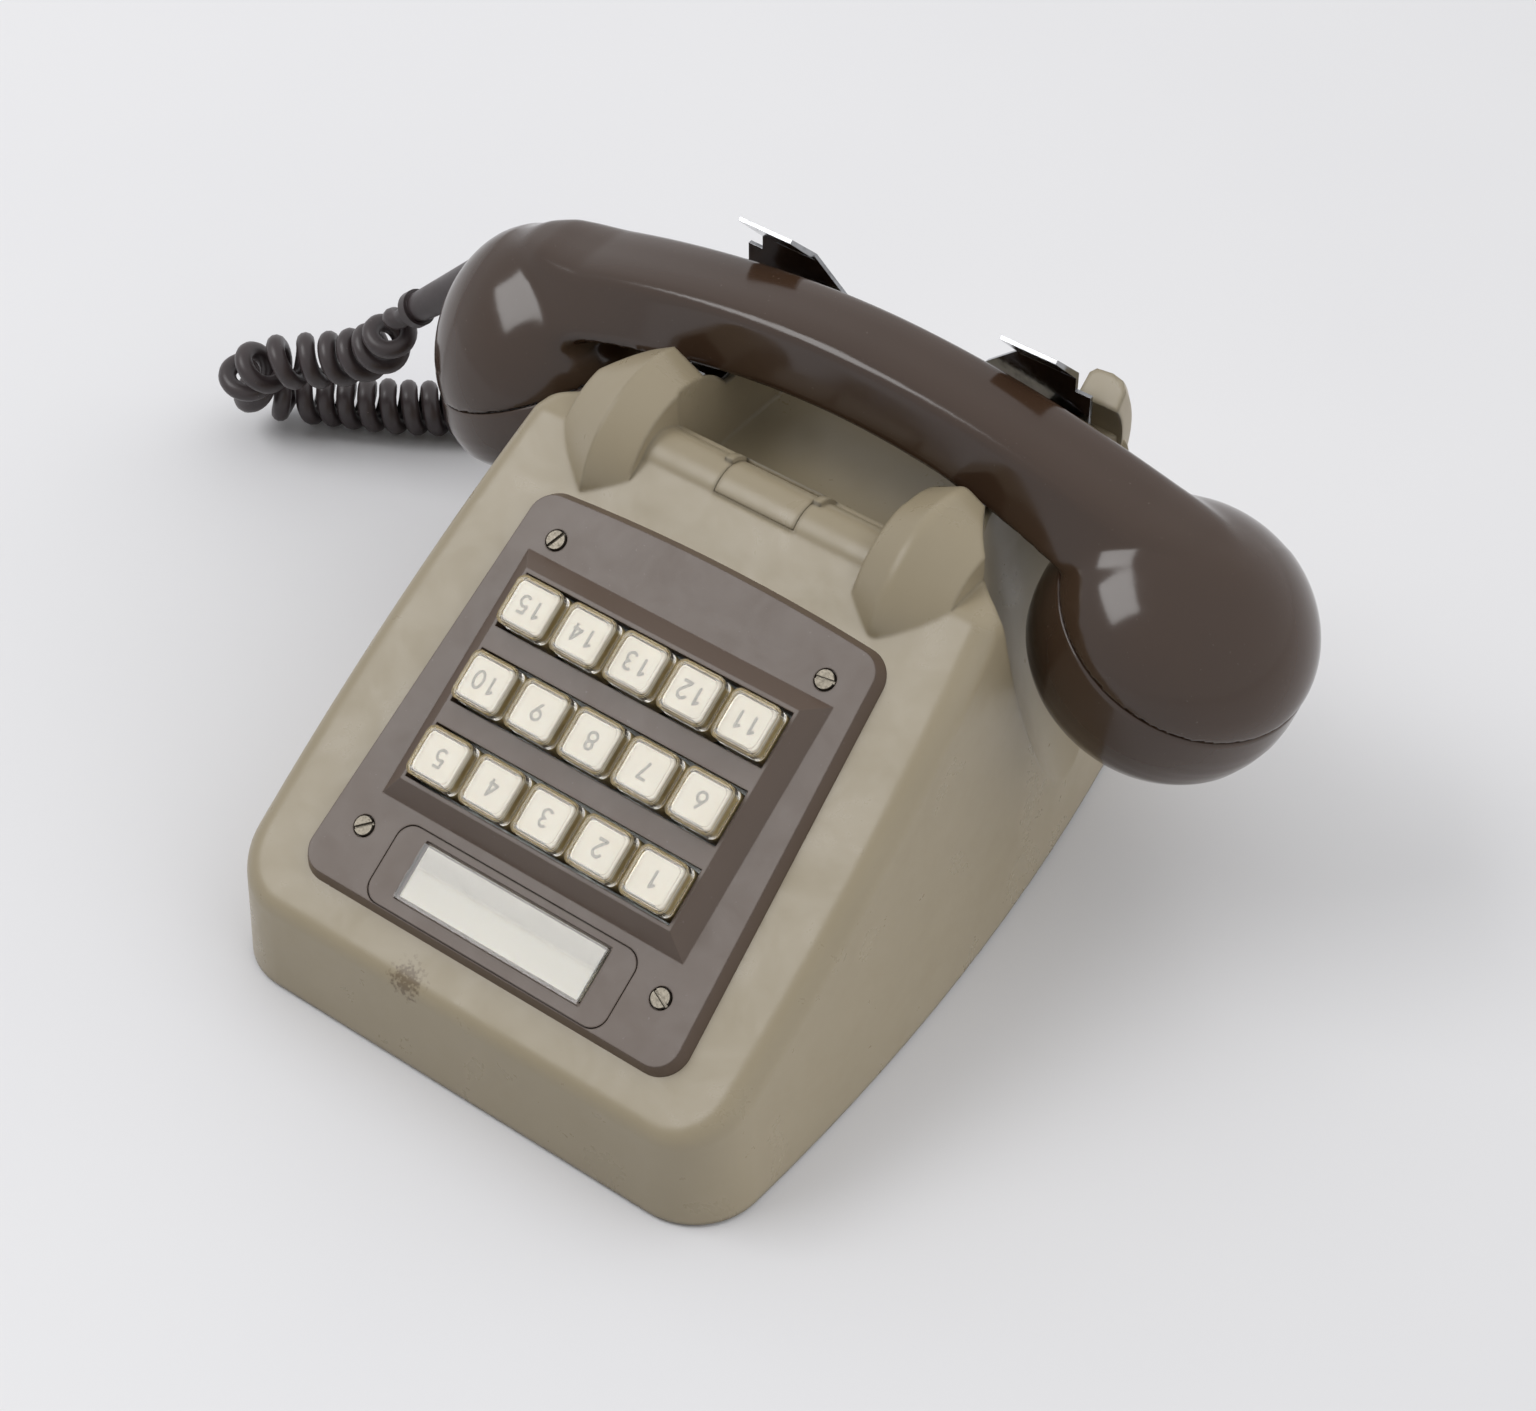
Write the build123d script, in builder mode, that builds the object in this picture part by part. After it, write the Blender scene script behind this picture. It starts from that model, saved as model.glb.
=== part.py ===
from build123d import *
from bisect import bisect_left
from math import cos, pi, radians, sin, sqrt, tan
import os

os.makedirs("parts", exist_ok=True)

# Sizes in millimetres. X runs to the right, Y from the front edge to the back, Z up from the table.

# Case
case_depth = 202.6
case_lift = 1.0
front_half_width = 67.0
widest_half_width = 69.1
widest_from_front = 50.0
rear_half_width = 49.2
front_corner_radius = 16.4
rear_corner_radius = 20.0
case_draft = 3.1
case_wall = 3.0
slope_angle = 32.2
slope_foot_height = 24.9
top_height = 91.7
roof_end_from_front = 175.3
rear_foot_height = 28.0
shoulder_radius = 5.0

# Ridge, carrying well and cradle ears
ridge_from_front = 111.8
ridge_radius = 7.5
ridge_height = 94.7
well_half_width = 30.0
well_start = 116.3
well_end = 170.5
well_floor = 75.7
well_corner = 4.0
ear_inner_x = 29.5
ear_crest_x = 38.5
ear_outer_x = 51.0
rear_ear_outer_x = 47.0
front_ear_from_front = 119.3
front_ear_height = 104.7
front_ear_radius = 25.0
rear_ear_from_front = 158.0
rear_ear_height = 105.5
rear_ear_radius = 18.0
front_crest_radius = 3.0
rear_crest_radius = 5.0
ear_edge_drop = 4.5
ear_side_drop = 7.0
saddle_start = 128.8
saddle_middle = 139.3
saddle_end = 170.3
saddle_inner_x = 30.7
scoop_foot_height = 15.7
scoop_foot_radius = 20.0
scoop_mid_height = 56.7
scoop_mid_radius = 34.0
scoop_top_height = 90.7
scoop_top_radius = 42.0

# Handset
handset_from_front = 146.8
ball_x = 81.4
ball_height = 70.2
ball_tilt = 20.5
ball_radius = 32.0
ball_top = 33.5
seam_offset = 9.5
cap_face_offset = 23.0
cap_face_radius = 20.0
cap_wall = 2.4
cap_dish = 2.0
cap_hole_radius = 1.5
cap_hole_ring = 9.0
inset_radius = 24.0
inset_depth = 14.0
handle_top = 114.2
handle_bottom = 96.7
handle_top_half_width = 9.5
handle_bottom_half_width = 13.0
handle_reach = 76.0
handle_top_fall = 16.0
handle_bottom_fall = 18.2
handle_top_spread = 7.2
handle_bottom_spread = 13.5
handle_crown = 1.0

# Faceplate, measured along the slope from the plate's centre
plate_centre_from_front = 55.1
plate_front_half_width = 51.5
plate_rear_half_width = 46.5
plate_front_v = -53.4
plate_rear_v = 44.8
plate_rear_bow = 2.2
plate_corner_radius = 7.0
plate_thickness = 3.0
plate_bevel = 1.5
plateau_half_width = 40.5
plateau_half_depth = 30.5
plateau_bevel = 4.2
plateau_height = 4.3
plate_screw_rear = (35.7, 34.8)
plate_screw_front = (40.1, -38.7)
plate_screw_radius = 1.5
plate_screw_head_radius = 2.45

# Keys
key_columns = 5
key_rows = 3
key_pitch = 14.29
row_pitch = 18.6
key_width = 12.2
key_depth = 11.8
key_top_height = 11.2
key_travel = 3.0
key_cap_height = 4.2
key_cap_wall = 0.9
key_cap_roof = 1.3
key_cap_fit = 0.1
key_body_height = 7.8
key_stem = 4.0
key_stem_length = 8.0
key_slot_clearance = 0.7
guide_clearance = 0.15
key_stop_gap = 0.3
guide_thickness = 1.5
guide_half_width = 36.6
guide_half_depth = 28.0
contact_plate_thickness = 1.6
contact_gap = 0.3
contact_leaf_thickness = 0.4
contact_leaf_width = 3.0
contact_leaf_length = 11.0
contact_leaf_rise = 2.5

# Label window
label_v = -41.7
label_width = 49.6
label_depth = 13.5
insert_half_width = 32.0
insert_depth = 18.4
insert_corner = 4.0
insert_thickness = 1.6
insert_fit = 0.2
label_card_thickness = 0.4
label_window_thickness = 1.6

# Cradle hooks
hook_sheet = 1.0
hook_strip_inner_x = 31.0
hook_strip_outer_x = 39.4
hook_plate_from_front = 165.8
hook_plate_top = 110.1
hook_step_height = 105.6
hook_plate_outer_x = 45.6
hook_step_x = 41.7
hook_plate_inner_x = 27.4
hook_slant_x = 18.8
hook_slant_height = 102.7
hook_flange_reach = 9.5
hook_front_tab = 6.0
hook_clearance = 0.3
hook_tab_gap = 0.3
hook_arm_x = 34.4
hook_arm_sheet = 1.6
hook_arm_slack = 0.6
shaft_from_front = 168.0
shaft_height = 66.0
shaft_radius = 2.0
shaft_clearance = 0.05
shaft_half_length = 41.0
bearing_x = 25.0
bearing_width = 4.0
bearing_half_depth = 5.0

# Base, feet and fasteners
base_plate_height = 3.0
base_plate_thickness = 1.5
base_plate_gap = 0.5
foot_radius = 8.0
front_foot = (46.0, 33.3)
rear_foot = (35.0, 171.3)
pillar_radius = 4.5
front_pillar = (49.0, 18.0)
rear_pillar = (34.0, 187.0)
case_screw_radius = 1.5
case_screw_head_radius = 3.4
case_screw_head_height = 1.6
case_screw_reach = 9.0
screw_fit = 0.05

# Cord entries in the rear wall
gland_x = -34.0
inlet_x = 30.0
entry_height = 12.0
gland_radius = 5.5
gland_reach = 10.0
inlet_radius = 5.0
inlet_bore_radius = 2.8

# Curly cord
cord_diameter = 4.6
curl_outer_diameter = 14.4
curl_pitch = 5.3
curl_gap = 0.6
curl_ramp = 16.0
ramp_stretch = 5.0
cord_lead = 8.5
cord_rest = 0.3
cord_facets = 6
strain_root_radius = 4.8
strain_tip_radius = 3.6
strain_ring_radius = 4.6
strain_ring_length = 2.5
strain_length = 29.0
strain_seat = 3.0
strain_direction = (-0.738, -0.041, -0.672)
strain_start = (-111.0, 146.8, 77.2)


def from_front(distance):
    return distance - case_depth / 2


# Reference planes: the sloping deck, and the axis of each earpiece bowl
slope_rise = tan(radians(slope_angle))
deck_height = slope_foot_height + plate_centre_from_front * slope_rise
deck_normal = (0, -sin(radians(slope_angle)), cos(radians(slope_angle)))
deck_centre = (0, from_front(plate_centre_from_front), deck_height)
deck = Plane(origin=deck_centre, x_dir=(1, 0, 0), z_dir=deck_normal)
crest_from_front = (top_height - slope_foot_height) / slope_rise
rear_lean = (case_depth - roof_end_from_front) / (top_height - rear_foot_height)
front_y = from_front(0)
rear_y = from_front(case_depth)
handset_y = from_front(handset_from_front)
base_top = base_plate_height + base_plate_thickness


def case_plan(inset, height):
    """Barrel-sided plan with rounded corners."""
    with BuildSketch(Plane.XY.offset(height)) as plan:
        with BuildLine():
            Line((-front_half_width, front_y), (front_half_width, front_y))
            ThreePointArc(
                (front_half_width, front_y),
                (widest_half_width, from_front(widest_from_front)),
                (rear_half_width, rear_y),
            )
            Line((rear_half_width, rear_y), (-rear_half_width, rear_y))
            ThreePointArc(
                (-rear_half_width, rear_y),
                (-widest_half_width, from_front(widest_from_front)),
                (-front_half_width, front_y),
            )
        make_face()
        fillet(plan.vertices().group_by(Axis.Y)[0], front_corner_radius)
        fillet(plan.vertices().group_by(Axis.Y)[-1], rear_corner_radius)
        if inset:
            offset(amount=-inset)
    return plan.sketch


def lean_y(height, inset):
    """Y of the leaning rear wall at a height, moved inwards by the inset."""
    return rear_y - (height - rear_foot_height) * rear_lean - inset * sqrt(1 + rear_lean**2)


def case_form(inset):
    """The case's body as a solid, its faces moved inwards by the inset."""
    drop = inset / cos(radians(slope_angle))
    start = 0 if inset else case_lift
    with BuildPart() as form:
        add(case_plan(inset, start))
        extrude(amount=top_height + 10, taper=case_draft)
        with BuildSketch(Plane.YZ):
            with BuildLine():
                Polyline(
                    (front_y - 5, start),
                    (front_y - 5, slope_foot_height - drop - 5 * slope_rise),
                    (from_front(crest_from_front) - (inset - drop) / slope_rise, top_height - inset),
                    (lean_y(top_height - inset, inset), top_height - inset),
                    (lean_y(start, inset), start),
                    close=True,
                )
            make_face()
        extrude(amount=2 * widest_half_width, both=True, mode=Mode.INTERSECT)
        upper = form.faces().filter_by(lambda face: face.normal_at().Z > 0.3)
        fillet(upper.edges(), shoulder_radius - inset)
    return form.part


def cradle_ear(side, y, height, radius, outer_x, crest_radius):
    """Lobe across the case, turned about an X axis; a small crest radius gives it a prow."""
    turning = Plane(origin=(0, y, height - radius), x_dir=(1, 0, 0), z_dir=(0, -1, 0))
    with BuildPart() as ear:
        with BuildSketch(turning) as profile:
            with BuildLine():
                Polyline(
                    (side * ear_inner_x, 0),
                    (side * ear_inner_x, radius - ear_edge_drop),
                    (side * ear_crest_x, radius),
                    (side * outer_x, radius - ear_side_drop),
                    (side * outer_x, 0),
                    close=True,
                )
            make_face()
            fillet(profile.vertices().sort_by(Axis.Z)[-1], crest_radius)
        revolve(axis=Axis((0, y, height - radius), (1, 0, 0)))
    return ear.part


def ear_scoop(side, grow):
    """Bell-shaped hollow beside the case that clears the handset's bowl."""
    axis_plane = Plane(origin=(side * ball_x, handset_y, 0), x_dir=(1, 0, 0), z_dir=(0, -1, 0))
    ceiling = rear_ear_height + 10
    with BuildPart() as scoop:
        with BuildSketch(axis_plane):
            with BuildLine():
                ThreePointArc(
                    (scoop_foot_radius + grow, scoop_foot_height),
                    (scoop_mid_radius + grow, scoop_mid_height),
                    (scoop_top_radius + grow, scoop_top_height),
                )
                Polyline(
                    (scoop_top_radius + grow, scoop_top_height),
                    (scoop_top_radius + grow, ceiling),
                    (0, ceiling),
                    (0, scoop_foot_height),
                    (scoop_foot_radius + grow, scoop_foot_height),
                )
            make_face()
        revolve(axis=Axis((side * ball_x, handset_y, 0), (0, 0, 1)))
    return scoop.part


def carrying_well(grow):
    """Finger well between the ears."""
    with BuildPart() as well:
        with BuildSketch(Plane.XY.offset(well_floor - grow)):
            with Locations((0, from_front((well_start + well_end) / 2))):
                RectangleRounded(
                    2 * (well_half_width + grow), well_end - well_start + 2 * grow, well_corner
                )
        extrude(amount=top_height)
    return well.part


def ridge_bar(grow, half_length):
    """Half-round bar along the crest."""
    bar_plane = Plane.YZ.offset(-half_length)
    with BuildPart() as bar:
        with BuildSketch(bar_plane):
            with Locations((from_front(ridge_from_front), ridge_height - ridge_radius)):
                Circle(ridge_radius + grow)
        extrude(amount=2 * half_length)
    return bar.part


# Case: one moulding, open below
blank_half_width = 10.4
blank_front = 106.1
blank_rear = 117.7
blank_seat = 90.7
blank_fit = 0.2
rim_width = 2.0
rim_rise = 0.9
rim_start = 112.8
pillar_points = [
    (side * x, from_front(y)) for x, y in (front_pillar, rear_pillar) for side in (-1, 1)
]
plate_screw_points = [
    (side * u, v) for u, v in (plate_screw_rear, plate_screw_front) for side in (-1, 1)
]
boss_radius = 3.6
boss_length = 8.0

outer_form = case_form(0)
with BuildPart() as inner_form:
    add(case_form(case_wall))
    for side in (-1, 1):
        add(ear_scoop(side, case_wall), mode=Mode.SUBTRACT)
    add(carrying_well(case_wall), mode=Mode.SUBTRACT)

with BuildPart() as pillars:
    with BuildSketch(Plane.XY.offset(base_top)):
        with Locations(*pillar_points):
            Circle(pillar_radius)
    extrude(amount=top_height)
    with BuildSketch(deck):
        with Locations(*plate_screw_points):
            Circle(boss_radius)
    extrude(amount=-boss_length)
    with Locations(
        *[
            (side * bearing_x, from_front(shaft_from_front), shaft_height - bearing_half_depth)
            for side in (-1, 1)
        ]
    ):
        Box(
            bearing_width,
            2 * bearing_half_depth,
            well_floor - case_wall / 2 - shaft_height + bearing_half_depth,
            align=(Align.CENTER, Align.CENTER, Align.MIN),
        )
    add(outer_form, mode=Mode.INTERSECT)

# Raised rim round the rear half of the blank
with BuildPart() as rim:
    add(ridge_bar(rim_rise, blank_half_width + blank_fit + rim_width))
    with Locations((0, from_front(rim_start), top_height)):
        Box(
            2 * (blank_half_width + blank_fit + rim_width),
            2 * ridge_radius,
            2 * ridge_radius,
            align=(Align.CENTER, Align.MIN, Align.CENTER),
            mode=Mode.INTERSECT,
        )

# Carrying well, stopped at the ridge
with BuildPart() as well_cut:
    add(carrying_well(0))
    add(ridge_bar(rim_rise, well_half_width + 1), mode=Mode.SUBTRACT)

with BuildPart() as case:
    add(outer_form)
    add(ridge_bar(0, well_half_width + 1))
    for side in (-1, 1):
        front_ear_y = from_front(front_ear_from_front)
        rear_ear_y = from_front(rear_ear_from_front)
        add(
            cradle_ear(
                side,
                front_ear_y,
                front_ear_height,
                front_ear_radius,
                ear_outer_x,
                front_crest_radius,
            )
        )
        add(
            cradle_ear(
                side,
                rear_ear_y,
                rear_ear_height,
                rear_ear_radius,
                rear_ear_outer_x,
                rear_crest_radius,
            )
        )
    add(rim.part)
    # Saddle for the handle, carrying well and side scoops
    with BuildSketch(Plane.XY.offset(top_height)):
        with Locations((0, from_front((saddle_middle + saddle_end) / 2))):
            Rectangle(2 * widest_half_width, saddle_end - saddle_middle)
        for side in (-1, 1):
            with Locations(
                (
                    side * (saddle_inner_x + widest_half_width) / 2,
                    from_front((saddle_start + saddle_middle) / 2),
                )
            ):
                Rectangle(widest_half_width - saddle_inner_x, saddle_middle - saddle_start)
    extrude(amount=rear_ear_height, mode=Mode.SUBTRACT)
    add(well_cut.part, mode=Mode.SUBTRACT)
    for side in (-1, 1):
        add(ear_scoop(side, 0), mode=Mode.SUBTRACT)
    # Hollow inside, with pillars, bosses and bearings
    add(inner_form.part, mode=Mode.SUBTRACT)
    add(pillars.part)
    with BuildSketch(Plane.XY.offset(base_top)):
        with Locations(*pillar_points):
            Circle(case_screw_radius + screw_fit)
    extrude(amount=case_screw_reach, mode=Mode.SUBTRACT)
    with BuildSketch(deck):
        with Locations(*plate_screw_points):
            Circle(plate_screw_radius + screw_fit)
    extrude(amount=-boss_length, mode=Mode.SUBTRACT)
    # Opening for the key unit
    with BuildSketch(deck.offset(-2 * case_wall)):
        Rectangle(2 * (guide_half_width + 1), 2 * (guide_half_depth + 1))
    extrude(amount=3 * case_wall, mode=Mode.SUBTRACT)
    # Pocket for the blank
    with Locations((0, from_front((blank_front + blank_rear) / 2), blank_seat)):
        Box(
            2 * (blank_half_width + blank_fit),
            blank_rear - blank_front + 2 * blank_fit,
            ridge_height,
            align=(Align.CENTER, Align.CENTER, Align.MIN),
            mode=Mode.SUBTRACT,
        )
    # Shaft bores and slots for the hook arms
    with BuildSketch(Plane.YZ.offset(-shaft_half_length)):
        with Locations((from_front(shaft_from_front), shaft_height)):
            Circle(shaft_radius + shaft_clearance)
    extrude(amount=2 * shaft_half_length, mode=Mode.SUBTRACT)
    arm_slot_start = hook_plate_from_front - 12
    arm_slot_end = saddle_end - 0.3
    arm_slot_depth = 6.0
    with Locations(
        *[
            (
                side * (hook_arm_x + hook_arm_sheet / 2),
                from_front((arm_slot_start + arm_slot_end) / 2),
                shaft_height - arm_slot_depth,
            )
            for side in (-1, 1)
        ]
    ):
        Box(
            hook_arm_sheet + 2 * hook_arm_slack,
            arm_slot_end - arm_slot_start,
            top_height - shaft_height + arm_slot_depth + case_wall / 2,
            align=(Align.CENTER, Align.CENTER, Align.MIN),
            mode=Mode.SUBTRACT,
        )
    # Cord holes in the rear wall
    with BuildSketch(Plane.XZ.offset(-rear_y - 1)):
        with Locations((gland_x, entry_height)):
            Circle(gland_radius + screw_fit)
        with Locations((inlet_x, entry_height)):
            Circle(inlet_radius + screw_fit)
    extrude(amount=3 * case_wall, mode=Mode.SUBTRACT)
case.part.label = "case"
export_step(case.part, "parts/case.step")

# Blank on the ridge, flush with its curve
with BuildPart() as crest:
    add(ridge_bar(0, well_half_width))
    add(outer_form)
with BuildPart() as ridge_blank:
    with Locations((0, from_front((blank_front + blank_rear) / 2), blank_seat)):
        Box(
            2 * blank_half_width,
            blank_rear - blank_front,
            ridge_height,
            align=(Align.CENTER, Align.CENTER, Align.MIN),
        )
    add(crest.part, mode=Mode.INTERSECT)
ridge_blank.part.label = "ridge_blank"
export_step(ridge_blank.part, "parts/ridge_blank.step")

# Base plate: pressed sheet inside the case's rim
base_inset = case_wall + base_plate_gap
with BuildPart() as base_plate:
    add(case_plan(base_inset, base_plate_height))
    extrude(amount=base_plate_thickness)
    with BuildSketch(Plane.XY.offset(base_plate_height)):
        with Locations(*pillar_points):
            Circle(case_screw_radius + screw_fit)
    extrude(amount=base_plate_thickness, mode=Mode.SUBTRACT)
base_plate.part.label = "base_plate"
export_step(base_plate.part, "parts/base_plate.step")

# Rubber feet under the base plate
foot_points = [(side * x, from_front(y)) for x, y in (front_foot, rear_foot) for side in (-1, 1)]
foot_chamfer = 0.8
with BuildPart() as feet:
    with BuildSketch():
        with Locations(*foot_points):
            Circle(foot_radius)
    extrude(amount=base_plate_height)
    chamfer(feet.faces().filter_by(Axis.Z).group_by(Axis.Z)[0].edges(), foot_chamfer)
feet.part.label = "feet"
export_step(feet.part, "parts/feet.step")

# Screws that hold the base plate to the pillars
slot_width = 1.0
slot_depth = 0.7
case_screw_face = base_plate_height - case_screw_head_height
with BuildPart() as case_screws:
    with BuildSketch(Plane.XY.offset(case_screw_face)):
        with Locations(*pillar_points):
            Circle(case_screw_head_radius)
    extrude(amount=case_screw_head_height)
    with BuildSketch(Plane.XY.offset(base_plate_height)):
        with Locations(*pillar_points):
            Circle(case_screw_radius)
    extrude(amount=base_plate_thickness + case_screw_reach - 1)
    with BuildSketch(Plane.XY.offset(case_screw_face)):
        with Locations(*pillar_points):
            Rectangle(3 * case_screw_head_radius, slot_width)
    extrude(amount=slot_depth, mode=Mode.SUBTRACT)
case_screws.part.label = "case_screws"
export_step(case_screws.part, "parts/case_screws.step")


def plate_outline(shrink):
    """Faceplate outline on the deck: a trapezoid with a bowed rear edge."""
    with BuildSketch() as outline:
        with BuildLine():
            Line((-plate_front_half_width, plate_front_v), (plate_front_half_width, plate_front_v))
            Line((plate_front_half_width, plate_front_v), (plate_rear_half_width, plate_rear_v))
            ThreePointArc(
                (plate_rear_half_width, plate_rear_v),
                (0, plate_rear_v + plate_rear_bow),
                (-plate_rear_half_width, plate_rear_v),
            )
            Line((-plate_rear_half_width, plate_rear_v), (-plate_front_half_width, plate_front_v))
        make_face()
        fillet(outline.vertices(), plate_corner_radius)
        if shrink:
            offset(amount=-shrink)
    return outline.sketch


# Faceplate with its raised key plateau
key_slot_depth = key_depth + 2 * key_slot_clearance
key_row_width = (key_columns - 1) * key_pitch + key_width + 2 * key_slot_clearance
plateau_roof = 2.7
plateau_slope = 45.0
insert_v = plate_front_v + plate_bevel + insert_depth / 2 + 0.4
with BuildPart() as faceplate:
    with BuildSketch(deck):
        add(plate_outline(0))
    with BuildSketch(deck.offset(plate_thickness)):
        add(plate_outline(plate_bevel))
    loft()
    with BuildSketch(deck.offset(plate_thickness)):
        Rectangle(2 * plateau_half_width, 2 * plateau_half_depth)
    extrude(amount=plateau_height, taper=plateau_slope)
    with BuildSketch(deck):
        Rectangle(
            2 * (plateau_half_width - plateau_bevel - 1), 2 * (plateau_half_depth - plateau_bevel - 1)
        )
    extrude(amount=plate_thickness + plateau_height - plateau_roof, mode=Mode.SUBTRACT)
    with BuildSketch(deck):
        with GridLocations(0, row_pitch, 1, key_rows):
            Rectangle(key_row_width, key_slot_depth)
    extrude(amount=plate_thickness + plateau_height, mode=Mode.SUBTRACT)
    with BuildSketch(deck.offset(plate_thickness - insert_thickness)):
        with Locations((0, insert_v)):
            RectangleRounded(
                2 * (insert_half_width + insert_fit), insert_depth + 2 * insert_fit, insert_corner
            )
    extrude(amount=insert_thickness, mode=Mode.SUBTRACT)
    with BuildSketch(deck):
        with Locations(*plate_screw_points):
            Circle(plate_screw_radius + screw_fit)
    extrude(amount=plate_thickness, mode=Mode.SUBTRACT)
    with BuildSketch(deck.offset(plate_thickness - 1.0)):
        with Locations(*plate_screw_points):
            Circle(plate_screw_head_radius + 2 * screw_fit)
    extrude(amount=plate_thickness, mode=Mode.SUBTRACT)
faceplate.part.label = "faceplate"
export_step(faceplate.part, "parts/faceplate.step")

# Slotted screws of the faceplate, each stopped at its own angle
plate_screw_turns = (65, 8, 40, -25)
plate_screw_head = 1.5
with BuildPart() as faceplate_screws:
    with BuildSketch(deck.offset(plate_thickness - 1.0)):
        with Locations(*plate_screw_points):
            Circle(plate_screw_head_radius)
    extrude(amount=plate_screw_head)
    with BuildSketch(deck.offset(plate_thickness - 1.0)):
        with Locations(*plate_screw_points):
            Circle(plate_screw_radius)
    extrude(amount=-(boss_length - 1))
    head_top = plate_thickness - 1.0 + plate_screw_head
    with BuildSketch(deck.offset(head_top - slot_depth)):
        for point, turn in zip(plate_screw_points, plate_screw_turns):
            with Locations(Location((point[0], point[1], 0), (0, 0, turn))):
                Rectangle(3 * plate_screw_head_radius, 0.8)
    extrude(amount=plate_screw_head, mode=Mode.SUBTRACT)
faceplate_screws.part.label = "faceplate_screws"
export_step(faceplate_screws.part, "parts/faceplate_screws.step")

# Label insert, card and clear window
window_floor = plate_thickness - insert_thickness + 0.6
with BuildPart() as label_insert:
    with BuildSketch(deck.offset(plate_thickness - insert_thickness)):
        with Locations((0, insert_v)):
            RectangleRounded(2 * insert_half_width, insert_depth, insert_corner)
    extrude(amount=insert_thickness)
    with BuildSketch(deck.offset(window_floor)):
        with Locations((0, label_v)):
            Rectangle(label_width + 2 * insert_fit, label_depth + 2 * insert_fit)
    extrude(amount=insert_thickness, mode=Mode.SUBTRACT)
label_insert.part.label = "label_insert"
export_step(label_insert.part, "parts/label_insert.step")

card_margin = 0.8
with BuildPart() as label_card:
    with BuildSketch(deck.offset(window_floor)):
        with Locations((0, label_v)):
            Rectangle(label_width - 2 * card_margin, label_depth - 2 * card_margin)
    extrude(amount=label_card_thickness)
label_card.part.label = "label_card"
export_step(label_card.part, "parts/label_card.step")

with BuildPart() as label_window:
    with BuildSketch(deck.offset(window_floor)):
        with Locations((0, label_v)):
            Rectangle(label_width, label_depth)
    extrude(amount=label_card_thickness + label_window_thickness)
    chamfer(label_window.faces().sort_by(Axis.Z)[-1].edges(), 0.5)
    with BuildSketch(deck.offset(window_floor)):
        with Locations((0, label_v)):
            Rectangle(label_width - 2 * card_margin, label_depth - 2 * card_margin)
    extrude(amount=label_card_thickness, mode=Mode.SUBTRACT)
label_window.part.label = "label_window"
export_step(label_window.part, "parts/label_window.step")

# Keys: a cream plunger with a clear cap on its shoulder
shoulder_level = key_top_height - key_cap_height
card_level = key_top_height - key_cap_roof
body_foot = shoulder_level - key_body_height
stem_foot = body_foot - key_stem_length
core_width = key_width - 2 * key_cap_wall
core_depth = key_depth - 2 * key_cap_wall
for row in range(key_rows):
    for column in range(key_columns):
        number = row * key_columns + column + 1
        spot = (
            ((key_columns - 1) / 2 - column) * key_pitch,
            (row - (key_rows - 1) / 2) * row_pitch,
        )
        with BuildPart() as key:
            with BuildSketch(deck.offset(body_foot)):
                with Locations(spot):
                    Rectangle(key_width, key_depth)
            extrude(amount=key_body_height)
            with BuildSketch(deck.offset(shoulder_level)):
                with Locations(spot):
                    Rectangle(core_width - 2 * key_cap_fit, core_depth - 2 * key_cap_fit)
            extrude(amount=card_level - shoulder_level)
            with BuildSketch(deck.offset(stem_foot)):
                with Locations(spot):
                    Rectangle(key_stem, key_stem)
            extrude(amount=key_stem_length)
        key.part.label = f"key_{number:02d}"
        export_step(key.part, f"parts/key_{number:02d}.step")
        with BuildPart() as key_cap:
            with BuildSketch(deck.offset(shoulder_level)):
                with Locations(spot):
                    Rectangle(key_width, key_depth)
            extrude(amount=key_cap_height)
            chamfer(key_cap.faces().sort_by(Axis.Z)[-1].edges(), 0.6)
            with BuildSketch(deck.offset(shoulder_level)):
                with Locations(spot):
                    Rectangle(core_width, core_depth)
            extrude(amount=card_level - shoulder_level, mode=Mode.SUBTRACT)
        key_cap.part.label = f"key_cap_{number:02d}"
        export_step(key_cap.part, f"parts/key_cap_{number:02d}.step")

# Key frame: folded sheet that guides the stems
guide_level = body_foot - key_travel - key_stop_gap
flange = 1.2
with BuildPart() as key_frame:
    with BuildSketch(deck.offset(guide_level - guide_thickness)):
        Rectangle(2 * guide_half_width, 2 * guide_half_depth)
    extrude(amount=-guide_level + guide_thickness)
    with BuildSketch(deck.offset(guide_level)):
        Rectangle(2 * (guide_half_width - flange), 2 * (guide_half_depth + 1))
    extrude(amount=-guide_level, mode=Mode.SUBTRACT)
    with BuildSketch(deck.offset(guide_level - guide_thickness)):
        with GridLocations(key_pitch, row_pitch, key_columns, key_rows):
            Rectangle(key_stem + 2 * guide_clearance, key_stem + 2 * guide_clearance)
    extrude(amount=guide_thickness, mode=Mode.SUBTRACT)
key_frame.part.label = "key_frame"
export_step(key_frame.part, "parts/key_frame.step")

# Contact block hung below the key frame on four moulded legs
leaf_level = stem_foot - contact_gap
contact_level = leaf_level - contact_leaf_thickness - contact_leaf_rise
leg_width = 6.0
with BuildPart() as contact_block:
    with BuildSketch(deck.offset(contact_level - contact_plate_thickness)):
        Rectangle(2 * guide_half_width - 1, 2 * guide_half_depth - 1)
    extrude(amount=contact_plate_thickness)
    with BuildSketch(deck.offset(contact_level)):
        with GridLocations(2 * guide_half_width - leg_width, 2 * guide_half_depth - leg_width, 2, 2):
            Rectangle(4, 4)
    extrude(amount=guide_level - guide_thickness - contact_level)
contact_block.part.label = "contact_block"
export_step(contact_block.part, "parts/contact_block.step")

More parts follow.
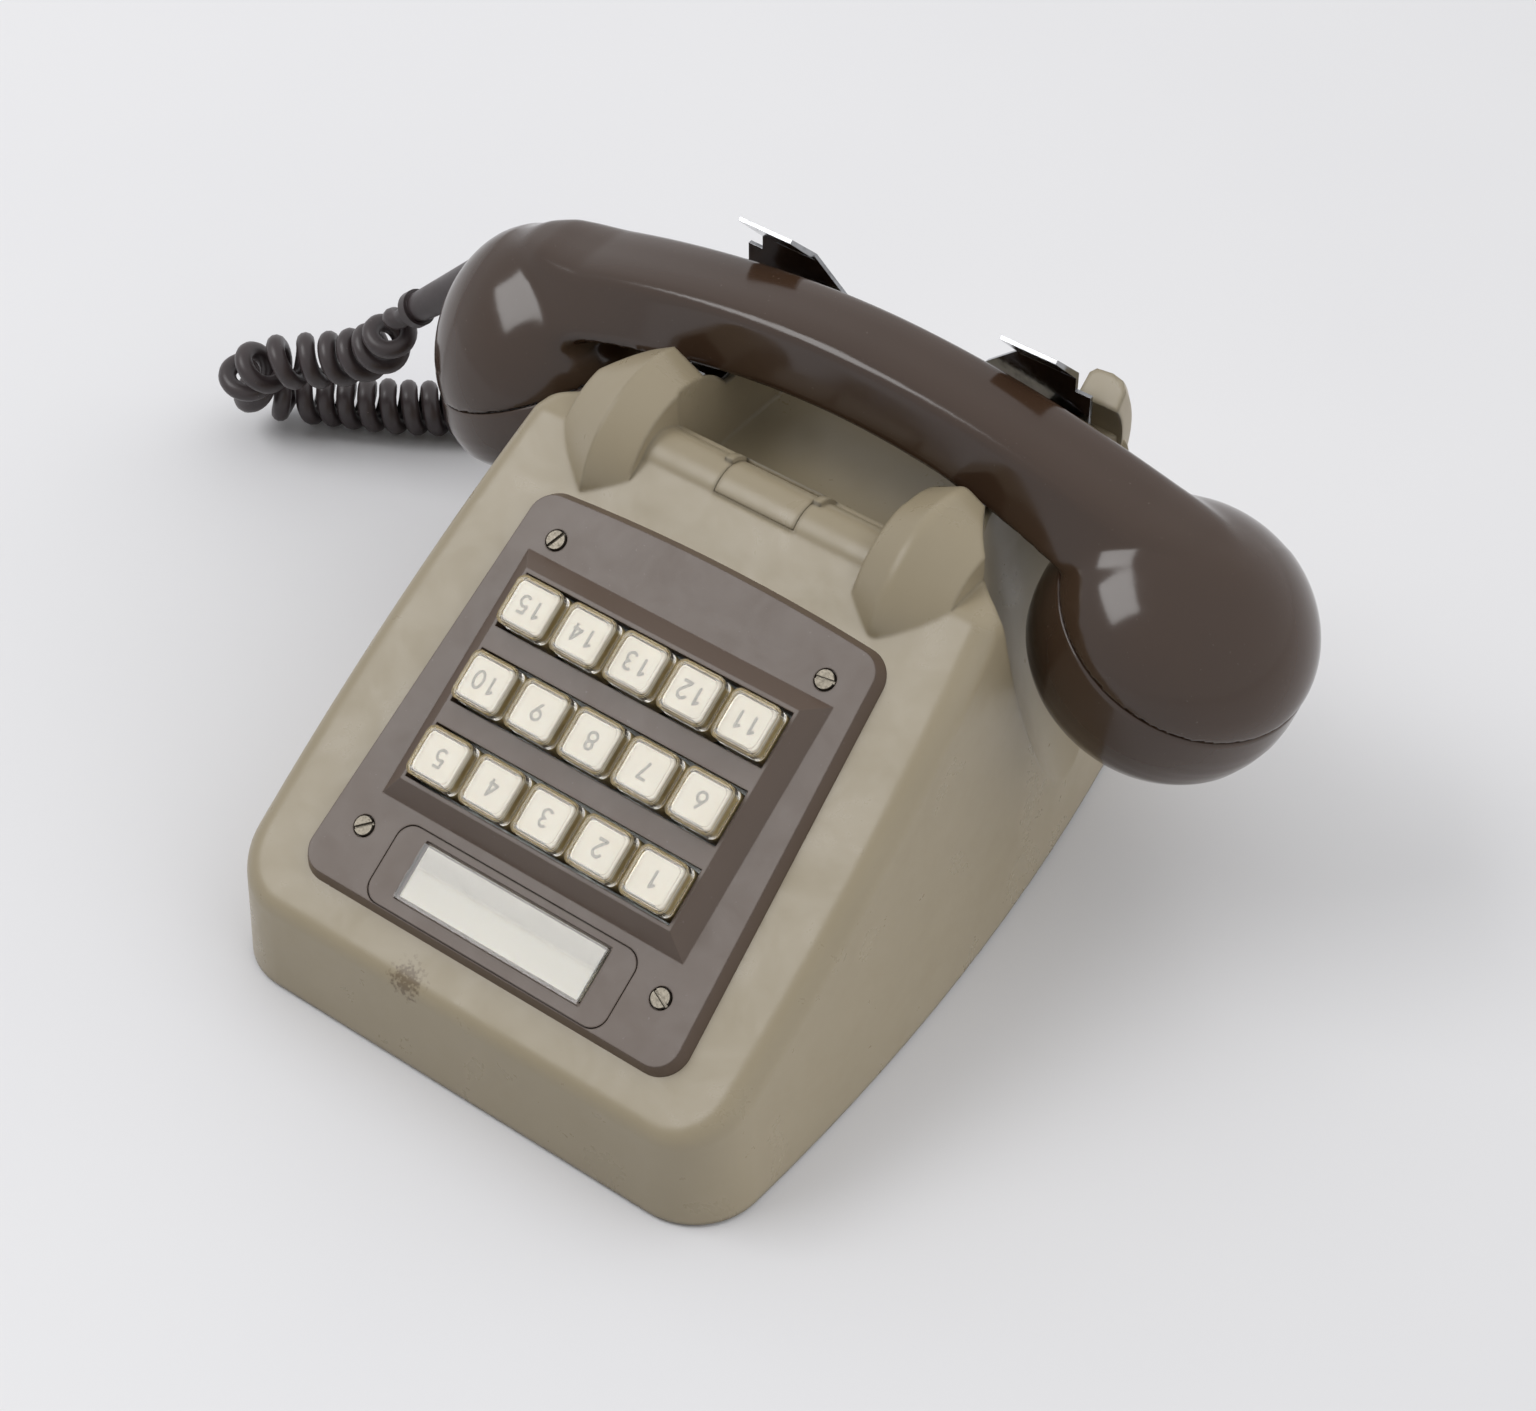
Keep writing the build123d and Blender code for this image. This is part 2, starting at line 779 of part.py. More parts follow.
# Contact leaves, one bent strip under each stem
with BuildPart() as contact_springs:
    with BuildSketch(deck.offset(leaf_level - contact_leaf_thickness)):
        with GridLocations(key_pitch, row_pitch, key_columns, key_rows):
            Rectangle(contact_leaf_width, contact_leaf_length)
    extrude(amount=contact_leaf_thickness)
    foot_shift = (contact_leaf_length - contact_leaf_thickness) / 2
    with BuildSketch(deck.offset(contact_level)):
        with Locations((0, -foot_shift)):
            with GridLocations(key_pitch, row_pitch, key_columns, key_rows):
                Rectangle(contact_leaf_width, contact_leaf_thickness)
    extrude(amount=contact_leaf_rise)
contact_springs.part.label = "contact_springs"
export_step(contact_springs.part, "parts/contact_springs.step")


def hook_profile(side):
    """One chromed hook: strip, back plate, overhanging lip and arm."""
    strip_level = top_height + hook_clearance
    tab_y = from_front(saddle_start + hook_tab_gap)
    plate_y = from_front(hook_plate_from_front)
    lip_y = plate_y - hook_flange_reach
    lip_height = hook_plate_top + hook_flange_reach
    arm_y = from_front(shaft_from_front)
    strip_middle = (hook_strip_inner_x + hook_strip_outer_x) / 2
    with BuildPart() as hook:
        # Strip under the handle, with its front tab
        with BuildSketch(Plane.YZ.offset(side * strip_middle)):
            with BuildLine():
                Polyline(
                    (tab_y, strip_level + hook_front_tab),
                    (tab_y, strip_level),
                    (plate_y + hook_sheet / 2, strip_level),
                    (plate_y + hook_sheet / 2, strip_level + hook_sheet),
                    (tab_y + hook_sheet, strip_level + hook_sheet),
                    (tab_y + hook_sheet, strip_level + hook_front_tab),
                    close=True,
                )
            make_face()
        extrude(amount=(hook_strip_outer_x - hook_strip_inner_x) / 2, both=True)
        # Back plate with its stepped and slanted edges
        with BuildSketch(Plane.XZ.offset(-plate_y)):
            with BuildLine():
                Polyline(
                    (side * hook_strip_inner_x, strip_level),
                    (side * hook_slant_x, hook_slant_height - 4),
                    (side * hook_slant_x, hook_slant_height),
                    (side * hook_plate_inner_x, hook_plate_top),
                    (side * hook_step_x, hook_plate_top),
                    (side * hook_step_x, hook_step_height),
                    (side * hook_plate_outer_x, hook_step_height),
                    (side * hook_plate_outer_x, strip_level + 6),
                    (side * hook_strip_outer_x, strip_level),
                    close=True,
                )
            make_face()
        extrude(amount=hook_sheet / 2, both=True)
        # Lip over the handle
        lip_middle = (hook_plate_inner_x + hook_step_x) / 2
        slant = hook_sheet / sqrt(2)
        with BuildSketch(Plane.YZ.offset(side * lip_middle)):
            with BuildLine():
                Polyline(
                    (plate_y + hook_sheet / 2, hook_plate_top - hook_sheet),
                    (plate_y + hook_sheet / 2, hook_plate_top),
                    (lip_y + slant, lip_height),
                    (lip_y, lip_height - slant),
                    (plate_y - hook_sheet / 2, hook_plate_top - hook_sheet),
                    close=True,
                )
            make_face()
        extrude(amount=(hook_step_x - hook_plate_inner_x) / 2, both=True)
        # Arm down to the shaft
        eye = shaft_radius + 2.2
        with BuildSketch(Plane.YZ.offset(side * (hook_arm_x + hook_arm_sheet / 2))):
            with BuildLine():
                Polyline(
                    (plate_y - 9, strip_level),
                    (plate_y + hook_sheet / 2, strip_level),
                    (arm_y + eye * 0.7, shaft_height + eye * 0.7),
                    (arm_y - eye * 0.7, shaft_height - eye * 0.7),
                    close=True,
                )
            make_face()
            with Locations((arm_y, shaft_height)):
                Circle(eye)
        extrude(amount=hook_arm_sheet / 2, both=True)
        with BuildSketch(Plane.YZ.offset(side * hook_arm_x - side * hook_arm_sheet)):
            with Locations((arm_y, shaft_height)):
                Circle(shaft_radius)
        extrude(amount=side * 4 * hook_arm_sheet, mode=Mode.SUBTRACT)
    return hook.part


cradle_hook_left = hook_profile(-1)
cradle_hook_left.label = "cradle_hook_left"
export_step(cradle_hook_left, "parts/cradle_hook_left.step")
cradle_hook_right = hook_profile(1)
cradle_hook_right.label = "cradle_hook_right"
export_step(cradle_hook_right, "parts/cradle_hook_right.step")

# Cross shaft of the cradle, with the lever that works the switch springs
lever_length = 28.0
with BuildPart() as cradle_shaft:
    with BuildSketch(Plane.YZ.offset(-hook_arm_x - 4)):
        with Locations((from_front(shaft_from_front), shaft_height)):
            Circle(shaft_radius)
    extrude(amount=2 * (hook_arm_x + 4))
    with Locations((0, from_front(shaft_from_front), shaft_height - lever_length / 2)):
        Box(6, hook_arm_sheet, lever_length)
cradle_shaft.part.label = "cradle_shaft"
export_step(cradle_shaft.part, "parts/cradle_shaft.step")

# Switch springs on their insulated stack, standing on the base plate
stack_width = 12.0
stack_front = 155.0
stack_rear = 165.0
leaf_height = 42.0
leaf_count = 4
with BuildPart() as switch_springs:
    with Locations((0, from_front(stack_front), base_top)):
        Box(
            stack_width + 6,
            stack_rear - stack_front,
            14,
            align=(Align.CENTER, Align.MIN, Align.MIN),
        )
    with BuildSketch(Plane.XY.offset(base_top + 14)):
        with Locations((0, from_front((stack_front + stack_rear) / 2))):
            with GridLocations(0, (stack_rear - stack_front) / leaf_count, 1, leaf_count):
                Rectangle(stack_width, contact_leaf_thickness)
    extrude(amount=leaf_height - 14)
switch_springs.part.label = "switch_springs"
export_step(switch_springs.part, "parts/switch_springs.step")

# Buzzer: coil between the cheeks of its yoke, with the sounding plate on top
buzzer_x = -26.0
buzzer_from_front = 103.3
buzzer_coil_radius = 9.0
buzzer_coil_height = 20.0
with BuildPart() as buzzer:
    with Locations((buzzer_x, from_front(buzzer_from_front), base_top)):
        Box(26, 22, 2, align=(Align.CENTER, Align.CENTER, Align.MIN))
    with Locations((buzzer_x, from_front(buzzer_from_front), base_top + 2)):
        Cylinder(buzzer_coil_radius, buzzer_coil_height, align=(Align.CENTER, Align.CENTER, Align.MIN))
        with Locations((-12, 0, 0)):
            Box(2, 22, buzzer_coil_height + 3, align=(Align.CENTER, Align.CENTER, Align.MIN))
    with Locations((buzzer_x, from_front(buzzer_from_front), base_top + 2 + buzzer_coil_height)):
        Cylinder(4, 1.5, align=(Align.CENTER, Align.CENTER, Align.MIN))
buzzer.part.label = "buzzer"
export_step(buzzer.part, "parts/buzzer.step")

# Induction coil held off its clamp by the two cheeks
coil_x = 26.0
coil_from_front = 103.3
coil_radius = 9.0
coil_length = 28.0
coil_clamp_thickness = 3.0
coil_height = coil_clamp_thickness + coil_radius + 0.8
coil_cheek_thickness = 2.0
with BuildPart() as induction_coil:
    with Locations((coil_x, from_front(coil_from_front), base_top)):
        Box(
            24,
            coil_length + 6,
            coil_clamp_thickness,
            align=(Align.CENTER, Align.CENTER, Align.MIN),
        )
    with BuildSketch(Plane.XZ.offset(-from_front(coil_from_front + coil_length / 2))):
        with Locations((coil_x, base_top + coil_height)):
            Circle(coil_radius)
    extrude(amount=coil_length)
    for end in (-coil_length / 2, coil_length / 2):
        with Locations((coil_x, from_front(coil_from_front + end), base_top)):
            Box(
                2 * coil_radius + 2,
                coil_cheek_thickness,
                coil_height + coil_radius + 1,
                align=(Align.CENTER, Align.CENTER, Align.MIN),
            )
induction_coil.part.label = "induction_coil"
export_step(induction_coil.part, "parts/induction_coil.step")

# Terminal block with its clamp screws
terminal_from_front = 135.3
terminal_count = 4
terminal_pitch = 10.0
with BuildPart() as terminal_block:
    with Locations((0, from_front(terminal_from_front), base_top)):
        Box(terminal_count * terminal_pitch + 4, 14, 9, align=(Align.CENTER, Align.CENTER, Align.MIN))
    with Locations((0, from_front(terminal_from_front), base_top + 9)):
        with GridLocations(terminal_pitch, 7, terminal_count, 1):
            Cylinder(2.4, 1.2, align=(Align.CENTER, Align.CENTER, Align.MIN))
terminal_block.part.label = "terminal_block"
export_step(terminal_block.part, "parts/terminal_block.step")


def bowl_plane(side):
    """Plane square to a bowl's axis, through the bowl's centre."""
    tilt = radians(ball_tilt)
    return Plane(
        origin=(side * ball_x, handset_y, ball_height),
        x_dir=(0, 1, 0),
        z_dir=(side * sin(tilt), 0, cos(tilt)),
    )


def bowl_turn(side, points_maker):
    """Turns a half profile, given in radius and distance along the axis, about a bowl's axis."""
    base = bowl_plane(side)
    side_plane = Plane(origin=base.origin, x_dir=base.x_dir, z_dir=-base.y_dir)
    with BuildPart() as turned:
        with BuildSketch(side_plane):
            with BuildLine():
                points_maker()
            make_face()
        revolve(axis=Axis(base.origin, base.z_dir))
    return turned.part


def dome_profile():
    """Upper half of a bowl, above the seam."""
    rim = (ball_radius - 0.6, seam_offset)
    crown = (0, ball_top)
    Spline(rim, (0.72 * ball_radius, 0.76 * ball_top), crown, tangents=((-0.12, 1), (-1, 0)))
    Polyline(crown, (0, seam_offset), rim)


def cap_profile():
    """Screwed cap below the seam, with a dished face."""
    rim = (ball_radius - 0.6, seam_offset)
    face_edge = (cap_face_radius, -cap_face_offset)
    Spline(
        rim,
        (ball_radius, 0),
        (0.87 * ball_radius, -0.58 * cap_face_offset),
        face_edge,
        tangents=((0.12, -1), (-1, -0.25)),
    )
    Polyline(face_edge, (0, -cap_face_offset + cap_dish), (0, seam_offset), rim)


def cap_hollow():
    """Room inside the cap for the inset."""
    hollow = inset_radius + 0.3
    floor = -cap_face_offset + cap_dish + cap_wall
    Polyline((0, floor), (hollow, floor + 3), (hollow, seam_offset), (0, seam_offset), (0, floor))


# Handset body: arched handle between two domes
handle_stations = (0, 0.28, 0.56, 0.8, 1)
handle_corner = 3.0


def handle_section(side, share):
    """One cross-section of the handle, a soft trapezoid with a crowned top."""
    top = handle_top - handle_top_fall * share**1.86
    bottom = handle_bottom - handle_bottom_fall * share**2.6
    upper_half = handle_top_half_width + handle_top_spread * share**2.5
    lower_half = handle_bottom_half_width + handle_bottom_spread * share**2.5
    with BuildSketch(Plane.YZ.offset(side * share * handle_reach)) as section:
        with BuildLine():
            ThreePointArc(
                (handset_y - upper_half, top),
                (handset_y, top + handle_crown),
                (handset_y + upper_half, top),
            )
            Polyline(
                (handset_y + upper_half, top),
                (handset_y + lower_half, bottom),
                (handset_y - lower_half, bottom),
                (handset_y - upper_half, top),
            )
        make_face()
        fillet(section.vertices(), handle_corner)
    return section.sketch


strain_axis = Vector(*strain_direction).normalized()
strain_origin = Vector(strain_start[0], from_front(strain_start[1]), strain_start[2])
strain_plane = Plane(origin=strain_origin, z_dir=strain_axis)
strain_end = strain_origin + strain_axis * strain_length
bayonet_radius = inset_radius - 1
bayonet_depth = 5.0
with BuildPart() as handset_body:
    for share in reversed(handle_stations[1:]):
        add(handle_section(-1, share))
    for share in handle_stations:
        add(handle_section(1, share))
    loft()
    for side in (-1, 1):
        add(bowl_turn(side, dome_profile))
        with BuildSketch(bowl_plane(side).offset(seam_offset)):
            Circle(bayonet_radius)
        extrude(amount=-bayonet_depth)
        # Nothing of the handle reaches below the seam
        with BuildSketch(bowl_plane(side).offset(seam_offset)):
            Circle(ball_radius + 6)
            Circle(bayonet_radius, mode=Mode.SUBTRACT)
        extrude(amount=-2 * ball_radius, mode=Mode.SUBTRACT)
    with BuildSketch(strain_plane.offset(-strain_seat)):
        Circle(strain_root_radius + screw_fit)
    extrude(amount=strain_length, mode=Mode.SUBTRACT)
handset_body.part.label = "handset_body"
export_step(handset_body.part, "parts/handset_body.step")

# Caps: mouthpiece on the left, where the cord is, and earpiece on the right
for side, name in ((-1, "mouth_cap"), (1, "ear_cap")):
    face_plane = bowl_plane(side).offset(-cap_face_offset)
    with BuildPart() as cap:
        add(bowl_turn(side, cap_profile))
        add(bowl_turn(side, cap_hollow), mode=Mode.SUBTRACT)
        with BuildSketch(face_plane.offset(-1)):
            Circle(cap_hole_radius)
            with PolarLocations(cap_hole_ring, 6):
                Circle(cap_hole_radius)
        extrude(amount=2 * cap_wall + cap_dish + 1, mode=Mode.SUBTRACT)
    cap.part.label = name
    export_step(cap.part, f"parts/{name}.step")

# Transmitter and receiver insets, seated under the bayonet bosses
for side, name in ((-1, "transmitter_inset"), (1, "receiver_inset")):
    with BuildPart() as inset:
        with BuildSketch(bowl_plane(side).offset(seam_offset - bayonet_depth)):
            Circle(inset_radius)
        extrude(amount=-inset_depth)
        chamfer(inset.faces().sort_by(Axis.Z)[0].edges(), 1.0)
    inset.part.label = name
    export_step(inset.part, f"parts/{name}.step")

# Tapered strain relief at the handset
with BuildPart() as handset_grommet:
    with BuildSketch(strain_plane.offset(-strain_seat)):
        Circle(strain_root_radius)
    with BuildSketch(strain_plane.offset(strain_length)):
        Circle(strain_tip_radius)
    loft()
    with BuildSketch(strain_plane.offset(strain_length - strain_ring_length)):
        Circle(strain_ring_radius)
    extrude(amount=strain_ring_length)
handset_grommet.part.label = "handset_grommet"
export_step(handset_grommet.part, "parts/handset_grommet.step")

# Cord gland and line inlet in the rear wall
gland_start = rear_y - case_wall - 3
with BuildPart() as case_grommet:
    with BuildSketch(Plane.XZ.offset(-gland_start)):
        with Locations((gland_x, entry_height)):
            Circle(gland_radius)
    extrude(amount=-(rear_y + gland_reach - gland_start))
case_grommet.part.label = "case_grommet"
export_step(case_grommet.part, "parts/case_grommet.step")

with BuildPart() as line_inlet_grommet:
    with BuildSketch(Plane.XZ.offset(-gland_start)):
        with Locations((inlet_x, entry_height)):
            Circle(inlet_radius)
            Circle(inlet_bore_radius, mode=Mode.SUBTRACT)
    extrude(amount=-(rear_y - 0.9 - gland_start))
line_inlet_grommet.part.label = "line_inlet_grommet"
export_step(line_inlet_grommet.part, "parts/line_inlet_grommet.step")

# Route of the curly cord, from the handset's strain relief to the gland in the rear wall
bend_allowance = 1.2
gland_tip = Vector(gland_x, rear_y + gland_reach, entry_height)
floor_run = curl_outer_diameter / 2 + cord_rest
cord_points = [
    (-142.2, 146.5, 42.5),
    (-150.0, 144.9, 35.6),
    (-160.0, 141.3, 31.4),
    (-170.9, 133.5, 30.6),
    (-180.9, 132.0, 22.8),
    (-184.2, 137.0, 13.6),
    (-180.0, 145.1, floor_run),
    (-169.6, 151.1, floor_run),
    (-157.3, 156.5, floor_run),
    (-145.5, 164.1, floor_run),
    (-133.0, 172.5, floor_run),
    (-119.5, 182.7, floor_run),
    (-105.0, 195.0, floor_run),
    (-90.5, 208.6, floor_run),
    (-76.2, 221.0, floor_run),
    (-62.0, 229.3, floor_run + 0.3),
    (-47.6, 232.1, floor_run + 1.3),
    (-39.2, 229.0, 11.0),
]
cord_route = [
    strain_end,
    strain_end + strain_axis * cord_lead,
    *[Vector(x, from_front(y), z) for x, y, z in cord_points],
    gland_tip + Vector(0, cord_lead + 0.5, 0),
    gland_tip,
]
cord_runs = [(b - a).length for a, b in zip(cord_route, cord_route[1:])]
cord_turns = [
    (b - a).get_angle(c - b) for a, b, c in zip(cord_route, cord_route[1:], cord_route[2:])
]
bend_radii = [
    0.45 * min(before, after) / tan(radians(turn / 2))
    for before, after, turn in zip(cord_runs, cord_runs[1:], cord_turns)
]
with BuildLine() as cord_axis:
    FilletPolyline(*cord_route, radius=bend_radii)
axis_wire = cord_axis.wires()[0]
axis_length = axis_wire.length
print("cord route mm", round(axis_length, 1), "least bend radius", round(min(bend_radii), 1))
print("bend radii", [round(radius, 1) for radius in bend_radii])

# Frames carried along the route without twist, and the turn reached at each of them
curl_radius = (curl_outer_diameter - cord_diameter) / 2
frame_count = 900
frame_step = axis_length / frame_count
centres = [axis_wire.position_at(i / frame_count) for i in range(frame_count + 1)]
headings = [axis_wire.tangent_at(i / frame_count).normalized() for i in range(frame_count + 1)]
bends = [
    (headings[min(i + 8, frame_count)] - headings[max(i - 8, 0)]).length
    / (frame_step * (min(i + 8, frame_count) - max(i - 8, 0)))
    for i in range(frame_count + 1)
]
side_ways = [headings[0].cross(Vector(0, 1, 0)).normalized()]
for heading in headings[1:]:
    carried = side_ways[-1] - heading * side_ways[-1].dot(heading)
    side_ways.append(carried.normalized())
curl_start = cord_diameter
curl_finish = axis_length - cord_diameter


def swell(along):
    """Share of the full curl radius at a distance along the route."""
    share = min(along - curl_start, curl_finish - along) / curl_ramp
    share = max(0, min(1, share))
    return share * share * (3 - 2 * share)


turn_count = [0]
for i in range(1, frame_count + 1):
    along = (i - 0.5) * frame_step
    bend = max(bends[i - 1], bends[i])
    pitch = (cord_diameter + curl_gap) / (1 - bend_allowance * curl_radius * bend * swell(along))
    pitch = max(pitch, curl_pitch) + ramp_stretch * (1 - swell(along))
    moving = curl_start < along < curl_finish
    turn_count.append(turn_count[-1] + (frame_step / pitch if moving else 0))
half_turns = round(2 * turn_count[-1])
turn_scale = half_turns / 2 / turn_count[-1]


def curl_point(place):
    """Point on the curl at a fractional frame index."""
    index = min(int(place), frame_count - 1)
    share = place - index
    centre = centres[index] * (1 - share) + centres[index + 1] * share
    heading = (headings[index] * (1 - share) + headings[index + 1] * share).normalized()
    across = (side_ways[index] * (1 - share) + side_ways[index + 1] * share).normalized()
    angle = 2 * pi * turn_scale * (turn_count[index] * (1 - share) + turn_count[index + 1] * share)
    radius = curl_radius * swell(place * frame_step)
    return centre + across * (radius * cos(angle)) + heading.cross(across) * (radius * sin(angle))


def curl_heading(place):
    """Direction of the curl at a fractional frame index."""
    ahead = curl_point(min(place + 0.05, frame_count))
    return (ahead - curl_point(max(place - 0.05, 0))).normalized()


def frame_at(turns):
    """Fractional frame index where the curl has made so many turns."""
    index = bisect_left(turn_count, turns / turn_scale, 1, frame_count)
    below = turn_count[index - 1]
    return index - 1 + (turns / turn_scale - below) / (turn_count[index] - below)


first_frame = curl_start / frame_step
last_frame = curl_finish / frame_step
places = [first_frame]
places += [frame_at(k / 2) for k in range(1, half_turns)]
places += [last_frame]
knots = [curl_point(place) for place in places]
tangents = [curl_heading(place) for place in places]
tangents[0] = headings[0]
tangents[-1] = headings[-1]
arc_radii = []
with BuildLine() as curls:
    Line(strain_end, knots[0])
    for p0, p1, t0, t1 in zip(knots, knots[1:], tangents, tangents[1:]):
        # Two tangent arcs for each half turn
        reach = p1 - p0
        both = t0 + t1
        close_up = 2 * (1 - t0.dot(t1))
        if close_up > 0.000001:
            root = sqrt(reach.dot(both) ** 2 + close_up * reach.dot(reach))
            stride = (root - reach.dot(both)) / close_up
        else:
            stride = reach.dot(reach) / (2 * reach.dot(both))
        joint = (p0 + p1 + (t0 - t1) * stride) / 2
        chord = (joint - p0).normalized()
        turned = chord * (2 * t0.dot(chord)) - t0
        first_arc = TangentArc(p0, joint, tangent=t0)
        second_arc = TangentArc(joint, p1, tangent=turned)
        arc_radii += [arc.radius for arc in (first_arc, second_arc) if arc.geom_type == GeomType.CIRCLE]
    Line(knots[-1], gland_tip)

curl_wire = curls.wires()[0]
samples = 24
sample_count = int(half_turns / 2 * samples)
curl_points = [curl_wire.position_at(i / sample_count) for i in range(sample_count + 1)]
near_gap = min(
    (curl_points[i] - curl_points[j]).length
    for i in range(0, sample_count)
    for j in range(i + samples // 2, min(i + 2 * samples, sample_count))
)
print("curls", half_turns / 2, "tightest arc", round(min(arc_radii), 2))
print("least gap of the cord to itself", round(near_gap - cord_diameter, 2))

with BuildPart() as handset_cord:
    with BuildSketch(Plane(origin=strain_end, z_dir=headings[0])):
        RegularPolygon(cord_diameter / 2, cord_facets)
    sweep(path=curl_wire, clean=False)
tube_area = cord_facets / 2 * sin(2 * pi / cord_facets) * cord_diameter**2 / 4
tube_share = handset_cord.part.volume / (tube_area * curl_wire.length)
print("cord volume over section times length", round(tube_share, 4))
handset_cord.part.label = "handset_cord"
export_step(handset_cord.part, "parts/handset_cord.step")
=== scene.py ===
import math

import bpy
import numpy as np
from mathutils import Euler, Matrix, Vector


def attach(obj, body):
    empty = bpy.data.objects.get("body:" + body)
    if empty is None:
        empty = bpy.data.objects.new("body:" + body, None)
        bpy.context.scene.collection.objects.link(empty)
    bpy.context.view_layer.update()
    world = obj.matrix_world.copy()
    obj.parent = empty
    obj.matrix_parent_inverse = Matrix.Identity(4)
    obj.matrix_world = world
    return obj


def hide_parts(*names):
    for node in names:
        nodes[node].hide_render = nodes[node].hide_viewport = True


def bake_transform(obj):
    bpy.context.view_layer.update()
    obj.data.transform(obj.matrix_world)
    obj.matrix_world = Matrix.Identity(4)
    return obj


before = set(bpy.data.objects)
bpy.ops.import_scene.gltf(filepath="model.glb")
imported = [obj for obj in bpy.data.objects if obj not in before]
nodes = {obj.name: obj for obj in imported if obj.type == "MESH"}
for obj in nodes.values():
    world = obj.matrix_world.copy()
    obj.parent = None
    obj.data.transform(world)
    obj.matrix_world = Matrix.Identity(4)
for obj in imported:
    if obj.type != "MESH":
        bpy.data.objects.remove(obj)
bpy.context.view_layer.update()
scene = bpy.context.scene
print("frame loaded,", len(nodes), "nodes")

keyNumbers = range(1, 16)
slope = math.radians(32.2)  # the deck leans back by this much
deckOrigin = Vector((0, -0.0462, 0.0596))
deckUp = Vector((0, math.cos(slope), math.sin(slope)))
deckOut = Vector((0, -math.sin(slope), math.cos(slope)))


def deckPoint(across, up, out):  # millimetres on the deck to metres in the frame
    return deckOrigin + Vector((across, 0, 0)) / 1000 + deckUp * up / 1000 + deckOut * out / 1000


def linearColour(hexText):  # sRGB hex to the linear values that nodes take
    parts = [int(hexText[i:i + 2], 16) / 255 for i in (1, 3, 5)]
    return [p / 12.92 if p <= 0.04045 else ((p + 0.055) / 1.055) ** 2.4 for p in parts] + [1.0]


def addNode(tree, kind, settings=None, inputs=None):  # one node with its settings, values and links
    node = tree.nodes.new(kind)
    for name, value in (settings or {}).items():
        setattr(node, name, value)
    for name, value in (inputs or {}).items():
        if isinstance(value, bpy.types.NodeSocket):
            tree.links.new(value, node.inputs[name])
        else:
            node.inputs[name].default_value = value
    return node


def newMaterial(name):  # an empty tree with its output, and the piece's own coordinates in metres
    material = bpy.data.materials.new(name)
    material.use_nodes = True
    tree = material.node_tree
    tree.nodes.clear()
    place = addNode(tree, "ShaderNodeTexCoord").outputs["Object"]
    return material, tree, place


def endMaterial(tree, shader):
    addNode(tree, "ShaderNodeOutputMaterial", inputs={"Surface": shader.outputs["BSDF"]})


def noiseAt(tree, place, grainMm, detail, roughness=0.5, distortion=0.0):  # noise with grains of the given size
    return addNode(tree, "ShaderNodeTexNoise", {}, {
        "Vector": place, "Scale": 1000 / grainMm, "Detail": detail, "Roughness": roughness,
        "Distortion": distortion}).outputs["Fac"]


def rangeOf(tree, value, low, high, atLow=0.0, atHigh=1.0):  # a value between low and high, stretched to a new range
    return addNode(tree, "ShaderNodeMapRange", {}, {
        "Value": value, "From Min": low, "From Max": high, "To Min": atLow, "To Max": atHigh}).outputs["Result"]


def mixColours(tree, share, first, second):  # each colour a hex text or a link
    first, second = (linearColour(colour) if isinstance(colour, str) else colour for colour in (first, second))
    return addNode(tree, "ShaderNodeMix", {"data_type": "RGBA"}, {0: share, 6: first, 7: second}).outputs[2]


def mathOf(tree, operation, first, second):
    return addNode(tree, "ShaderNodeMath", {"operation": operation}, {0: first, 1: second}).outputs[0]


def vectorValue(tree, operation, first, second):  # a number worked out from two vectors
    return addNode(tree, "ShaderNodeVectorMath", {"operation": operation}, {0: first, 1: second}).outputs["Value"]


